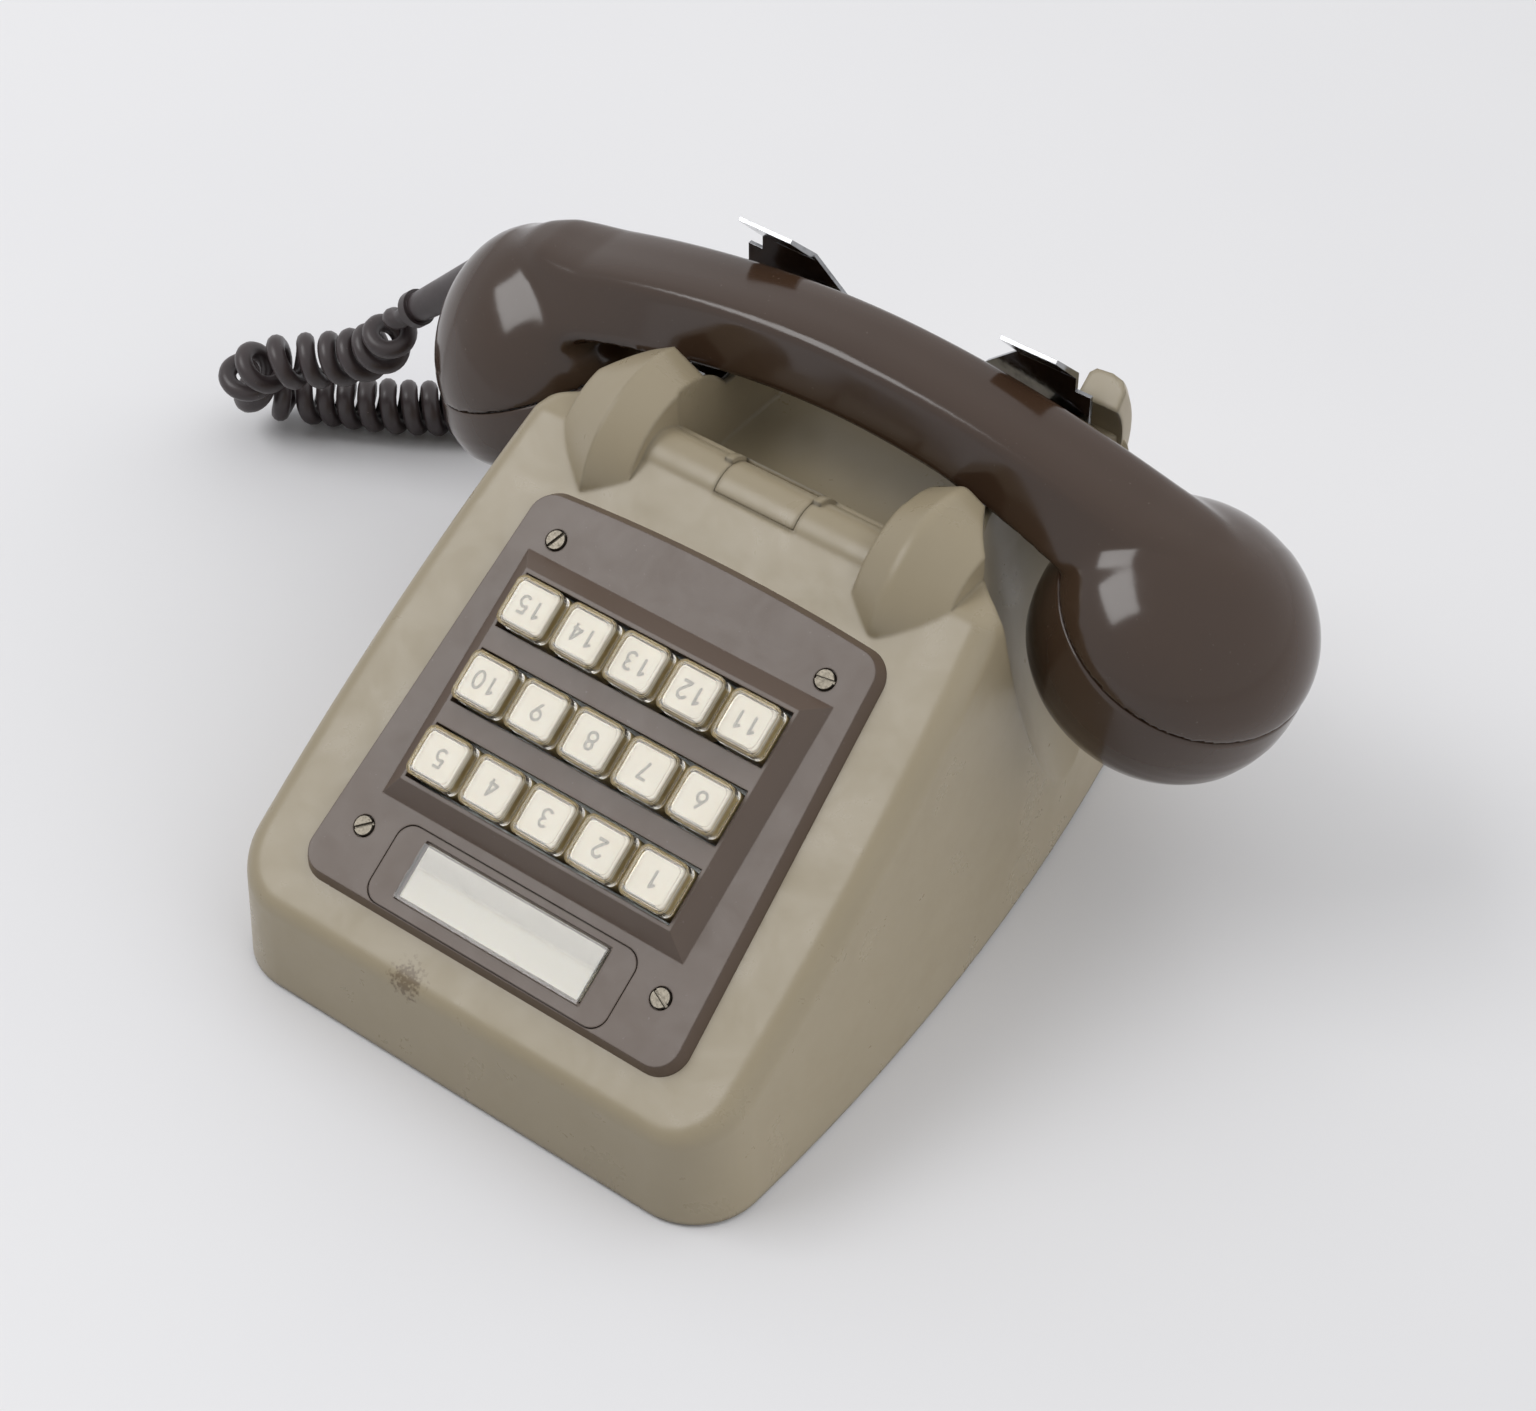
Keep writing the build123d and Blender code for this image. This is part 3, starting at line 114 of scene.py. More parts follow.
def mouldedPlastic(name, look):
    # Injection-moulded plastic: even colour, a soft skin with faint ripple, handling haze and dust in it
    material, tree, place = newMaterial(name)
    patches = noiseAt(tree, place, look["patchMm"], 4.0, 0.6)
    patchShare = rangeOf(tree, patches, 0.35, 0.7, 0.0, look["patchShare"])
    colour = mixColours(tree, patchShare, look["base"], look["patch"])
    if "skirtPaintedShade" in look:  # painted shade: sides below the deck's given level are painted browner
        level = vectorValue(tree, "DOT_PRODUCT", place, deckOut)
        skirtLevel = deckOrigin.dot(deckOut) + look["skirtBelow"] / 1000
        low = rangeOf(tree, level, skirtLevel - look["skirtFade"] / 1000, skirtLevel, 1.0, 0.0)
        colour = mixColours(tree, low, colour, look["skirtPaintedShade"])
    specks = noiseAt(tree, place, look["speckMm"], 2.0)
    speckShare = rangeOf(tree, specks, look["speckFrom"], look["speckFrom"] + 0.05, 0.0, look["speckShare"])
    colour = mixColours(tree, speckShare, colour, look["speck"])
    if "scuff" in look:  # a rubbed brown mark round one place
        away = vectorValue(tree, "DISTANCE", place, look["scuff"])
        near = rangeOf(tree, away, 0.0, look["scuffMm"] / 1000, 1.0, 0.0)
        grit = noiseAt(tree, place, look["gritMm"], 4.0)
        mark = rangeOf(tree, mathOf(tree, "MULTIPLY", near, grit), 0.3, 0.42, 0.0, look["scuffShare"])
        colour = mixColours(tree, mark, colour, look["scuffColour"])
    smears = noiseAt(tree, place, look["smearMm"], 5.0, 0.65, 0.4)
    roughness = rangeOf(tree, smears, 0.3, 0.72, *look["roughness"])
    skin = noiseAt(tree, place, look["skinMm"], 3.0)
    edges = addNode(tree, "ShaderNodeBevel", {"samples": 4}, {"Radius": look["edgeMm"] / 1000})
    bump = addNode(tree, "ShaderNodeBump", {}, {
        "Height": skin, "Strength": look["skinStrength"], "Distance": look["skinMm"] / 8000,
        "Normal": edges.outputs["Normal"]})
    shader = addNode(tree, "ShaderNodeBsdfPrincipled", {}, {
        "Base Color": colour, "Roughness": roughness, "IOR": look["ior"], "Normal": bump.outputs["Normal"]})
    endMaterial(tree, shader)
    return material


def metalSurface(name, look):
    # Plated or bare metal under a thin haze, with fine marks left by rolling, turning and handling
    material, tree, place = newMaterial(name)
    stretched = addNode(tree, "ShaderNodeMapping", {}, {"Vector": place, "Scale": look.get("stretch", (1, 1, 1))})
    marks = noiseAt(tree, stretched.outputs["Vector"], look["markMm"], 4.0, 0.6)
    roughness = rangeOf(tree, marks, 0.3, 0.7, *look["roughness"])
    stains = noiseAt(tree, place, look["stainMm"], 5.0, 0.7)
    stainShare = rangeOf(tree, stains, 0.5, 0.72, 0.0, look["stainShare"])
    colour = mixColours(tree, stainShare, look["base"], look["stain"])
    edges = addNode(tree, "ShaderNodeBevel", {"samples": 4}, {"Radius": look["edgeMm"] / 1000})
    bump = addNode(tree, "ShaderNodeBump", {}, {
        "Height": marks, "Strength": look["bump"], "Distance": 0.00005, "Normal": edges.outputs["Normal"]})
    shader = addNode(tree, "ShaderNodeBsdfPrincipled", {}, {
        "Base Color": colour, "Metallic": 1.0, "Roughness": roughness, "Normal": bump.outputs["Normal"]})
    endMaterial(tree, shader)
    return material


def clearPlastic(name, look):
    # Clear acrylic, yellowed a little and scratched fine: light goes through and bends at its edges
    material, tree, place = newMaterial(name)
    smears = noiseAt(tree, place, look["smearMm"], 5.0, 0.7)
    roughness = rangeOf(tree, smears, 0.4, 0.7, *look["roughness"])
    ripple = addNode(tree, "ShaderNodeBump", {}, {"Height": smears, "Strength": 0.15, "Distance": 0.00005})
    shader = addNode(tree, "ShaderNodeBsdfPrincipled", {}, {
        "Base Color": linearColour(look["base"]), "Roughness": roughness, "IOR": 1.49, "Transmission Weight": 1.0,
        "Normal": ripple.outputs["Normal"]})
    endMaterial(tree, shader)
    return material


def paperSurface(name, look):
    # Uncoated card: fibres show as a faint mottle
    material, tree, place = newMaterial(name)
    fibres = noiseAt(tree, place, look["fibreMm"], 6.0, 0.7)
    colour = mixColours(tree, fibres, look["base"], look["shade"])
    bump = addNode(tree, "ShaderNodeBump", {}, {"Height": fibres, "Strength": 0.1, "Distance": 0.00003})
    shader = addNode(tree, "ShaderNodeBsdfPrincipled", {}, {
        "Base Color": colour, "Roughness": 0.75, "Normal": bump.outputs["Normal"]})
    endMaterial(tree, shader)
    return material


def dress(nodeName, material):  # a better finish for a CAD piece whose shape stays
    for materialSlot in nodes[nodeName].material_slots:
        materialSlot.material = material


def linkedObject(name, data):
    piece = bpy.data.objects.new(name, data)
    scene.collection.objects.link(piece)
    return piece


def workedOutMesh(piece):  # what the piece's modifiers or its curve make of it
    bpy.context.view_layer.update()
    return bpy.data.meshes.new_from_object(piece.evaluated_get(bpy.context.evaluated_depsgraph_get()))


def startTree(name, inputs):  # a geometry tree with named inputs for its sizes
    tree = bpy.data.node_groups.new(name, "GeometryNodeTree")
    tree.interface.new_socket("Geometry", in_out="INPUT", socket_type="NodeSocketGeometry")
    for inputName, kind in inputs.items():
        tree.interface.new_socket(inputName, in_out="INPUT", socket_type="NodeSocket" + kind)
    tree.interface.new_socket("Geometry", in_out="OUTPUT", socket_type="NodeSocketGeometry")
    return tree, addNode(tree, "NodeGroupInput").outputs


def endTree(tree, geometry, material):  # the instances are made real and get their finish
    real = addNode(tree, "GeometryNodeRealizeInstances", {}, {"Geometry": geometry})
    finished = addNode(tree, "GeometryNodeSetMaterial", {}, {"Geometry": real.outputs[0], "Material": material})
    addNode(tree, "NodeGroupOutput", {}, {"Geometry": finished.outputs[0]})


def growPiece(name, tree, values, startMesh=None):  # runs the tree and keeps its result as a plain mesh
    piece = linkedObject(name, startMesh or bpy.data.meshes.new(name))
    modifier = piece.modifiers.new("build", "NODES")
    modifier.node_group = tree
    for item in tree.interface.items_tree:
        if item.item_type == "SOCKET" and item.in_out == "INPUT" and item.name in values:
            modifier[item.identifier] = values[item.name]
    grown = workedOutMesh(piece)
    piece.modifiers.clear()
    piece.data = grown
    grown.name = name
    finish = [material for material in grown.materials if material][-1]
    grown.materials.clear()
    grown.materials.append(finish)
    grown.polygons.foreach_set("material_index", [0] * len(grown.polygons))
    return piece


# Camera
cameraLook = {"place": (0.3235, -0.4252, 0.5737), "tilt": 44.8677, "turn": 36.6286, "focalPixels": 3400,
              "framePixels": 1536, "sensorMm": 36}
cameraData = bpy.data.cameras.new("studioCamera")
cameraData.sensor_width = cameraLook["sensorMm"]
cameraData.lens = cameraLook["sensorMm"] * cameraLook["focalPixels"] / cameraLook["framePixels"]
cameraObject = linkedObject("studioCamera", cameraData)
cameraObject.location = cameraLook["place"]
cameraObject.rotation_euler = (math.radians(cameraLook["tilt"]), 0, math.radians(cameraLook["turn"]))
scene.camera = cameraObject
print("camera set")

# Curly cord
cordLook = {
    "wire": 0.0046, "curlRadius": 0.0049, "pitch": 0.0053, "gap": 0.0006, "bendAllowance": 1.2,
    "ramp": 0.012, "rampStretch": 0.005, "pointsPerTurn": 16, "length": 1.31, "samples": 1201, "bendWindow": 31,
    "drawnShare": 0.981,
    "route": [
        (-0.132424, 0.044310, 0.057692), (-0.138704, 0.043962, 0.051974), (-0.1422, 0.0452, 0.0425),
        (-0.1500, 0.0436, 0.0356), (-0.1600, 0.0400, 0.0314), (-0.1709, 0.0322, 0.0306), (-0.1809, 0.0307, 0.0228),
        (-0.1842, 0.0357, 0.0136), (-0.1800, 0.0438, 0.0075), (-0.1696, 0.0498, 0.0075), (-0.1573, 0.0552, 0.0075),
        (-0.1455, 0.0628, 0.0075), (-0.1330, 0.0712, 0.0075), (-0.1195, 0.0814, 0.0075), (-0.1050, 0.0937, 0.0075),
        (-0.0905, 0.1073, 0.0075), (-0.0762, 0.1197, 0.0075), (-0.0620, 0.1280, 0.0078), (-0.0476, 0.1308, 0.0088),
        (-0.0392, 0.1277, 0.0110), (-0.0340, 0.1203, 0.0120), (-0.0340, 0.1113, 0.0120)],
}


def splineObject(name, points, detail):  # one open NURBS spline of order three that reaches its end points
    data = bpy.data.curves.new(name, "CURVE")
    data.dimensions = "3D"
    spline = data.splines.new("NURBS")
    spline.points.add(len(points) - 1)
    for point, place in zip(spline.points, points):
        point.co = (*place, 1)
    spline.order_u = 3
    spline.use_endpoint_u = True
    spline.resolution_u = detail
    return linkedObject(name, data)


def linePoints(piece):  # the curve's own line, read back from Blender
    mesh = workedOutMesh(piece)
    found = np.array([v.co for v in mesh.vertices])
    bpy.data.meshes.remove(mesh)
    return found


cordRoute = splineObject("cordRoute", cordLook["route"], 24)
routeLine = linePoints(cordRoute)
bpy.data.objects.remove(cordRoute)
stepLengths = np.linalg.norm(np.diff(routeLine, axis=0), axis=1)
alongRoute = np.concatenate([[0], np.cumsum(stepLengths)])
evenAlong = np.linspace(0, alongRoute[-1], cordLook["samples"])
centres = np.stack([np.interp(evenAlong, alongRoute, routeLine[:, k]) for k in range(3)], 1)
headings = np.gradient(centres, evenAlong, axis=0)
headings /= np.linalg.norm(headings, axis=1)[:, None]
bends = np.linalg.norm(np.gradient(headings, evenAlong, axis=0), axis=1)
bends = np.convolve(bends, np.ones(cordLook["bendWindow"]) / cordLook["bendWindow"], "same")
sideWays = [np.cross(headings[0], (0, 1, 0))]
for heading in headings:  # carried along the route without twist
    carried = sideWays[-1] - heading * sideWays[-1].dot(heading)
    sideWays.append(carried / np.linalg.norm(carried))
sideWays = np.array(sideWays[1:])
wire, curlRadius = cordLook["wire"], cordLook["curlRadius"]
swell = np.clip(np.minimum(evenAlong - wire, evenAlong[-1] - wire - evenAlong) / cordLook["ramp"], 0, 1)
swell = swell * swell * (3 - 2 * swell)
tightPitch = (wire + cordLook["gap"]) / (1 - cordLook["bendAllowance"] * curlRadius * bends * swell)
pitches = np.maximum(tightPitch, cordLook["pitch"]) + cordLook["rampStretch"] * (1 - swell)
turning = np.where((evenAlong > wire) & (evenAlong < evenAlong[-1] - wire), 1 / pitches, 0)
turns = np.concatenate([[0], np.cumsum((turning[1:] + turning[:-1]) / 2 * np.diff(evenAlong))])
turns *= round(2 * turns[-1]) / 2 / turns[-1]
cordPoints = [centres[0], centres[0] + headings[0] * wire / 2]
stepCount = int(round(turns[-1] * cordLook["pointsPerTurn"]))
for k in range(stepCount + 1):  # the control points stand a little outside the line that they draw
    angle = 2 * math.pi * k / cordLook["pointsPerTurn"]
    spot = np.interp(angle / 2 / math.pi, turns, np.arange(len(turns)))
    low, share = int(spot), spot - int(spot)
    high = min(low + 1, len(centres) - 1)
    centre = centres[low] * (1 - share) + centres[high] * share
    heading = headings[low] * (1 - share) + headings[high] * share
    across = sideWays[low] * (1 - share) + sideWays[high] * share
    radius = curlRadius * np.interp(spot, np.arange(len(swell)), swell) / cordLook["drawnShare"]
    cordPoints.append(centre + across * radius * math.cos(angle) + np.cross(heading, across) * radius * math.sin(angle))
cordPoints += [centres[-1] - headings[-1] * wire / 2, centres[-1]]
cordCurve = splineObject("handsetCordLine", cordPoints, 2)
cordLine = linePoints(cordCurve)
cordCurve.data.bevel_depth = wire / 2
cordCurve.data.bevel_resolution = 4
cordCurve.data.use_fill_caps = True
cordMesh = workedOutMesh(cordCurve)
bpy.data.objects.remove(cordCurve)
cordMesh.shade_smooth()
curlyCord = linkedObject("curly_cord", cordMesh)
cordRun = float(np.linalg.norm(np.diff(cordLine, axis=0), axis=1).sum())
print("cord wire", round(cordRun, 3), "m in", round(turns[-1], 1), "curls")

# Finishes
caseLook = {
    # ABS, injection moulded and aged: satin, a little yellow, with grey handling marks and fine dust
    "base": "#9E927A", "patch": "#958970", "patchMm": 38, "patchShare": 0.55, "speck": "#6A6250", "speckMm": 0.8,
    "speckFrom": 0.77, "speckShare": 0.3, "smearMm": 14, "roughness": (0.24, 0.42), "skinMm": 1.6,
    "skinStrength": 0.03, "edgeMm": 1.6, "ior": 1.53, "scuff": (-0.014, -0.0985, 0.026), "scuffMm": 11,
    "gritMm": 10 / 9, "scuffShare": 0.75, "scuffColour": "#5E4C33"}
plateLook = {
    # ABS, injection moulded: brown with a grey bloom from wear
    "base": "#594A3F", "patch": "#605146", "patchMm": 22, "patchShare": 0.35, "speck": "#8A7E7A", "speckMm": 0.9,
    "speckFrom": 0.72, "speckShare": 0.3, "smearMm": 9, "roughness": (0.33, 0.41), "skinMm": 0.8,
    "skinStrength": 0.06, "edgeMm": 0.4, "ior": 1.53}
handsetSurface = {
    # ABS, injection moulded and polished by hands: glossy, so the softbox shows with sharp edges
    "base": "#3D2C20", "patch": "#453327", "patchMm": 60, "patchShare": 0.5, "speck": "#776A60", "speckMm": 0.8,
    "speckFrom": 0.73, "speckShare": 0.35, "smearMm": 18, "roughness": (0.09, 0.2), "skinMm": 2.5,
    "skinStrength": 0.02, "edgeMm": 0.5, "ior": 1.54}
insertLook = {
    # Polystyrene, injection moulded, cream, with painted shade in brown over the lower sides (the skirt)
    "base": "#DFDCD6", "patch": "#D9D1C3", "patchMm": 9, "patchShare": 0.6, "speck": "#D2C6A8", "speckMm": 0.7,
    "speckFrom": 0.72, "speckShare": 0.4, "smearMm": 5, "roughness": (0.3, 0.45), "skinMm": 0.8,
    "skinStrength": 0.04, "edgeMm": 0.4, "ior": 1.59, "skirtPaintedShade": "#D9C490", "skirtBelow": 9.7, "skirtFade": 1.2}
innerLook = {
    # Phenolic, compression moulded: dull dark plate for the contacts
    "base": "#4A4640", "patch": "#3F3B36", "patchMm": 12, "patchShare": 0.6, "speck": "#6A655C", "speckMm": 0.6,
    "speckFrom": 0.7, "speckShare": 0.4, "smearMm": 8, "roughness": (0.45, 0.6), "skinMm": 0.8, "skinStrength": 0.08,
    "edgeMm": 0.3, "ior": 1.55}
rubberLook = {
    # Natural rubber, moulded: matt black with a grey bloom
    "base": "#2A2928", "patch": "#383634", "patchMm": 6, "patchShare": 0.7, "speck": "#57534F", "speckMm": 0.5,
    "speckFrom": 0.68, "speckShare": 0.4, "smearMm": 4, "roughness": (0.55, 0.75), "skinMm": 0.6,
    "skinStrength": 0.15, "edgeMm": 0.3, "ior": 1.52}
cordSkinLook = {
    # Plasticised PVC, extruded over the conductors: dark brown-grey, satin, with dust between the curls
    "base": "#352C2D", "patch": "#3F3636", "patchMm": 7, "patchShare": 0.6, "speck": "#857C78", "speckMm": 0.5,
    "speckFrom": 0.72, "speckShare": 0.5, "smearMm": 5, "roughness": (0.3, 0.44), "skinMm": 0.7,
    "skinStrength": 0.05, "edgeMm": 0.2, "ior": 1.53}
chromeLook = {
    # Chromium plate on pressed steel: mirror bright with fine rubbing lines and a few grey stains
    "base": "#9C9D9F", "stain": "#4A4846", "stainMm": 3, "stainShare": 0.5, "markMm": 1.2, "roughness": (0.06, 0.18),
    "bump": 0.15, "edgeMm": 0.2}
nickelLook = {
    # Nickel plate on turned steel screws, dulled in the slots
    "base": "#7C766B", "stain": "#3E3930", "stainMm": 0.9, "stainShare": 0.8, "markMm": 0.35,
    "roughness": (0.34, 0.55), "bump": 0.3, "edgeMm": 0.15}
zincLook = {
    # Zinc plate on pressed sheet: grey with a broad crystal mottle
    "base": "#A9ABA8", "stain": "#7D7C76", "stainMm": 9, "stainShare": 0.6, "markMm": 2.0, "roughness": (0.32, 0.5),
    "bump": 0.15, "edgeMm": 0.3}
bronzeLook = {
    # Phosphor bronze spring sheet, rolled
    "base": "#B98C57", "stain": "#7A5A36", "stainMm": 2, "stainShare": 0.5, "stretch": (1, 6, 1), "markMm": 1.0,
    "roughness": (0.2, 0.38), "bump": 0.1, "edgeMm": 0.1}
windingLook = {
    # Lacquered copper wire, layer wound
    "base": "#9A4F2C", "stain": "#5A2C18", "stainMm": 3, "stainShare": 0.6, "stretch": (1, 12, 12), "markMm": 1.0,
    "roughness": (0.25, 0.4), "bump": 0.4, "edgeMm": 0.1}
alloyLook = {
    # Aluminium, pressed: pale grey with drawing lines
    "base": "#C2C4C4", "stain": "#97978F", "stainMm": 5, "stainShare": 0.4, "stretch": (6, 1, 1), "markMm": 1.5,
    "roughness": (0.28, 0.42), "bump": 0.1, "edgeMm": 0.2}
capClearLook = {"base": "#FEFBF2", "smearMm": 2.5, "roughness": (0.03, 0.1)}
windowClearLook = {"base": "#FFFFFE", "smearMm": 6, "roughness": (0.02, 0.07)}
cardLook = {"base": "#F6F2E6", "shade": "#EDE9DC", "fibreMm": 1.2}

agedAbsBeige = mouldedPlastic("aged satin ABS beige", caseLook)
wornAbsBrown = mouldedPlastic("worn satin ABS brown", plateLook)
polishedAbsBrown = mouldedPlastic("hand polished ABS brown", handsetSurface)
creamPolystyrene = mouldedPlastic("moulded polystyrene cream", insertLook)
darkPhenolic = mouldedPlastic("compression moulded phenolic", innerLook)
mattRubber = mouldedPlastic("moulded rubber black", rubberLook)
cordPvc = mouldedPlastic("extruded PVC brown grey", cordSkinLook)
brightChrome = metalSurface("chromium plate", chromeLook)
turnedNickel = metalSurface("nickel plate on turned steel", nickelLook)
sheetZinc = metalSurface("zinc plate on sheet", zincLook)
springBronze = metalSurface("rolled phosphor bronze", bronzeLook)
copperWinding = metalSurface("lacquered copper winding", windingLook)
pressedAlloy = metalSurface("pressed aluminium", alloyLook)
clearCapAcrylic = clearPlastic("clear acrylic yellowed", capClearLook)
clearWindowAcrylic = clearPlastic("clear acrylic window", windowClearLook)
labelCard = paperSurface("uncoated card", cardLook)

nodeFinish = {
    "case": agedAbsBeige, "ridge_blank": agedAbsBeige, "base_plate": sheetZinc, "feet": mattRubber,
    "case_screws": turnedNickel, "faceplate": wornAbsBrown, "label_insert": wornAbsBrown, "label_card": labelCard,
    "label_window": clearWindowAcrylic, "key_frame": sheetZinc, "contact_block": darkPhenolic,
    "contact_springs": springBronze, "cradle_hook_left": brightChrome, "cradle_hook_right": brightChrome,
    "cradle_shaft": sheetZinc, "switch_springs": springBronze, "buzzer": copperWinding,
    "induction_coil": copperWinding, "terminal_block": darkPhenolic, "handset_grommet": cordPvc,
    "case_grommet": cordPvc, "line_inlet_grommet": mattRubber}
for nodeName, material in nodeFinish.items():
    dress(nodeName, material)
nodes["label_window"].visible_shadow = False
print("finishes on the carried-over pieces")

curlyCord.data.materials.append(cordPvc)
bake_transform(curlyCord)
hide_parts("handset_cord")

# Key caps: clear hollow blocks with round edges and a dished top
capLook = {"width": 12.2, "depth": 11.8, "height": 4.2, "top": 11.2, "corner": 1.9, "rim": 0.62, "sink": 0.1,
           "wall": 0.85, "roof": 1.3, "innerCorner": 1.25, "fit": 0.1, "pitch": 14.29, "rowPitch": 18.6, "columns": 5,
           "bodyHeight": 7.8, "stem": 4.0, "stemLength": 5.2, "stemOverlap": 0.5, "roofGap": 0.12, "coreRim": 0.25,
           "seatGap": 0.02, "inkLift": 0.012, "blockRim": 0.3, "cornerPoints": 9,
           "rises": [(0.3, 0.6), (0.7, 0.4), (1.0, 0), (0.4, -1.0)]}


def cappedBlock(tree, size, corner, rim, sink):  # a rounded outline drawn up, its rim drawn in and its top sunk
    width, depth, height = addNode(tree, "ShaderNodeSeparateXYZ", {}, {0: size}).outputs
    outline = addNode(tree, "GeometryNodeCurvePrimitiveQuadrilateral", {}, {"Width": width, "Height": depth}).outputs[0]
    rounded = addNode(tree, "GeometryNodeFilletCurve", {"mode": "POLY"},
                      {"Curve": outline, "Count": capLook["cornerPoints"], "Radius": corner}).outputs[0]
    foot = addNode(tree, "GeometryNodeFillCurve", {"mode": "NGONS"}, {"Curve": rounded}).outputs[0]
    body, top = foot, True
    for inward, rise in [(0, None)] + capLook["rises"]:  # shares of the rim, and of the sink for the last
        if rise is None:
            lift = mathOf(tree, "SUBTRACT", height, rim)
        else:
            lift = mathOf(tree, "MULTIPLY", rim if rise >= 0 else sink, rise)
        offset = addNode(tree, "ShaderNodeCombineXYZ", {}, {2: lift}).outputs[0]
        drawn = addNode(tree, "GeometryNodeExtrudeMesh", {"mode": "FACES"}, {
            "Mesh": body, "Selection": top, "Offset": offset, "Offset Scale": 1.0, "Individual": False})
        body, top = drawn.outputs["Mesh"], drawn.outputs["Top"]
        if inward:
            share = mathOf(tree, "DIVIDE", mathOf(tree, "MULTIPLY", rim, -2 * inward), width)
            scale = mathOf(tree, "ADD", share, 1.0)
            body = addNode(tree, "GeometryNodeScaleElements", {},
                           {"Geometry": body, "Selection": top, "Scale": scale}).outputs[0]
    under = addNode(tree, "GeometryNodeFlipFaces", {}, {"Mesh": foot}).outputs[0]
    whole = addNode(tree, "GeometryNodeJoinGeometry", {}, {"Geometry": body})
    tree.links.new(under, whole.inputs[0])
    return addNode(tree, "GeometryNodeMergeByDistance", {},
                   {"Geometry": whole.outputs[0], "Distance": 0.000001}).outputs[0]


def moved(tree, geometry, place):
    return addNode(tree, "GeometryNodeTransform", {}, {"Geometry": geometry, "Translation": place}).outputs[0]


def inDeckPlace(tree, geometry, centre):  # leans a piece back with the deck and puts it in its place
    placed = addNode(tree, "GeometryNodeTransform", {},
                     {"Geometry": geometry, "Translation": centre, "Rotation": (slope, 0, 0)}).outputs[0]
    return addNode(tree, "GeometryNodeSetShadeSmooth", {}, {"Geometry": placed, "Shade Smooth": False}).outputs[0]


capTree, capIn = startTree("clear key cap", {
    "Size": "Vector", "Corner": "Float", "Rim": "Float", "Sink": "Float", "Inner Size": "Vector",
    "Inner Corner": "Float", "Centre": "Vector"})
outerBlock = cappedBlock(capTree, capIn["Size"], capIn["Corner"], capIn["Rim"], capIn["Sink"])
innerBlock = cappedBlock(capTree, capIn["Inner Size"], capIn["Inner Corner"], capLook["blockRim"] / 1000, 0.0)
innerTurned = addNode(capTree, "GeometryNodeFlipFaces", {}, {"Mesh": innerBlock}).outputs[0]
bothBlocks = addNode(capTree, "GeometryNodeJoinGeometry", {}, {"Geometry": outerBlock})
capTree.links.new(moved(capTree, innerTurned, (0, 0, 0.00004)), bothBlocks.inputs[0])
endTree(capTree, inDeckPlace(capTree, bothBlocks.outputs[0], capIn["Centre"]), clearCapAcrylic)
insertTree, insertIn = startTree("cream key plunger", {
    "Core Size": "Vector", "Core Corner": "Float", "Core Rim": "Float", "Body Size": "Vector", "Body Corner": "Float",
    "Body Drop": "Vector", "Stem Size": "Vector", "Stem Drop": "Vector", "Centre": "Vector"})
coreBlock = cappedBlock(insertTree, insertIn["Core Size"], insertIn["Core Corner"], insertIn["Core Rim"], 0.00004)
bodyBlock = cappedBlock(insertTree, insertIn["Body Size"], insertIn["Body Corner"], capLook["blockRim"] / 1000, 0.0)
stemBlock = cappedBlock(insertTree, insertIn["Stem Size"], 0.0004, 0.0002, 0.0)
allBlocks = addNode(insertTree, "GeometryNodeJoinGeometry", {}, {"Geometry": coreBlock})
insertTree.links.new(moved(insertTree, bodyBlock, insertIn["Body Drop"]), allBlocks.inputs[0])
insertTree.links.new(moved(insertTree, stemBlock, insertIn["Stem Drop"]), allBlocks.inputs[0])
endTree(insertTree, inDeckPlace(insertTree, allBlocks.outputs[0], insertIn["Centre"]), creamPolystyrene)

# Numbers printed on the inserts, drawn as thin strokes
digitLook = {"height": 4.1, "width": 0.62, "step": 0.86, "pen": 0.34, "ink": "#7D7973", "paleInk": "#8D8983",
             "brokenMm": 0.4}


def arcPoints(x, y, rx, ry, start, end):
    angles = [math.radians(start + (end - start) * k / 20) for k in range(21)]
    return [(x + rx * math.cos(a), y + ry * math.sin(a)) for a in angles]


digitStrokes = {
    "0": [arcPoints(0.31, 0.5, 0.27, 0.47, 0, 360)],
    "1": [[(0.1, 0.76), (0.36, 0.97), (0.36, 0.03)]],
    "2": [arcPoints(0.31, 0.71, 0.26, 0.26, 170, -38) + [(0.05, 0.03), (0.58, 0.03)]],
    "3": [arcPoints(0.29, 0.75, 0.22, 0.22, 150, -90) + arcPoints(0.29, 0.28, 0.26, 0.25, 90, -150)],
    "4": [[(0.45, 0.03), (0.45, 0.97), (0.04, 0.3), (0.6, 0.3)]],
    "5": [[(0.53, 0.97), (0.13, 0.97), (0.08, 0.56)] + arcPoints(0.29, 0.32, 0.27, 0.29, 128, -140)],
    "6": [arcPoints(0.31, 0.3, 0.26, 0.27, 0, 360), [(0.42, 0.97), (0.07, 0.4)]],
    "7": [[(0.05, 0.97), (0.57, 0.97), (0.22, 0.03)]],
    "8": [arcPoints(0.31, 0.75, 0.2, 0.22, 0, 360), arcPoints(0.31, 0.28, 0.26, 0.25, 0, 360)],
    "9": [arcPoints(0.31, 0.7, 0.26, 0.27, 0, 360), [(0.2, 0.03), (0.55, 0.6)]]}

greyInk, tree, place = newMaterial("screen printed ink grey")  # printed ink: thin, a little broken
inkColour = mixColours(tree, noiseAt(tree, place, digitLook["brokenMm"], 3.0), digitLook["ink"], digitLook["paleInk"])
endMaterial(tree, addNode(tree, "ShaderNodeBsdfPrincipled", {}, {"Base Color": inkColour, "Roughness": 0.6}))


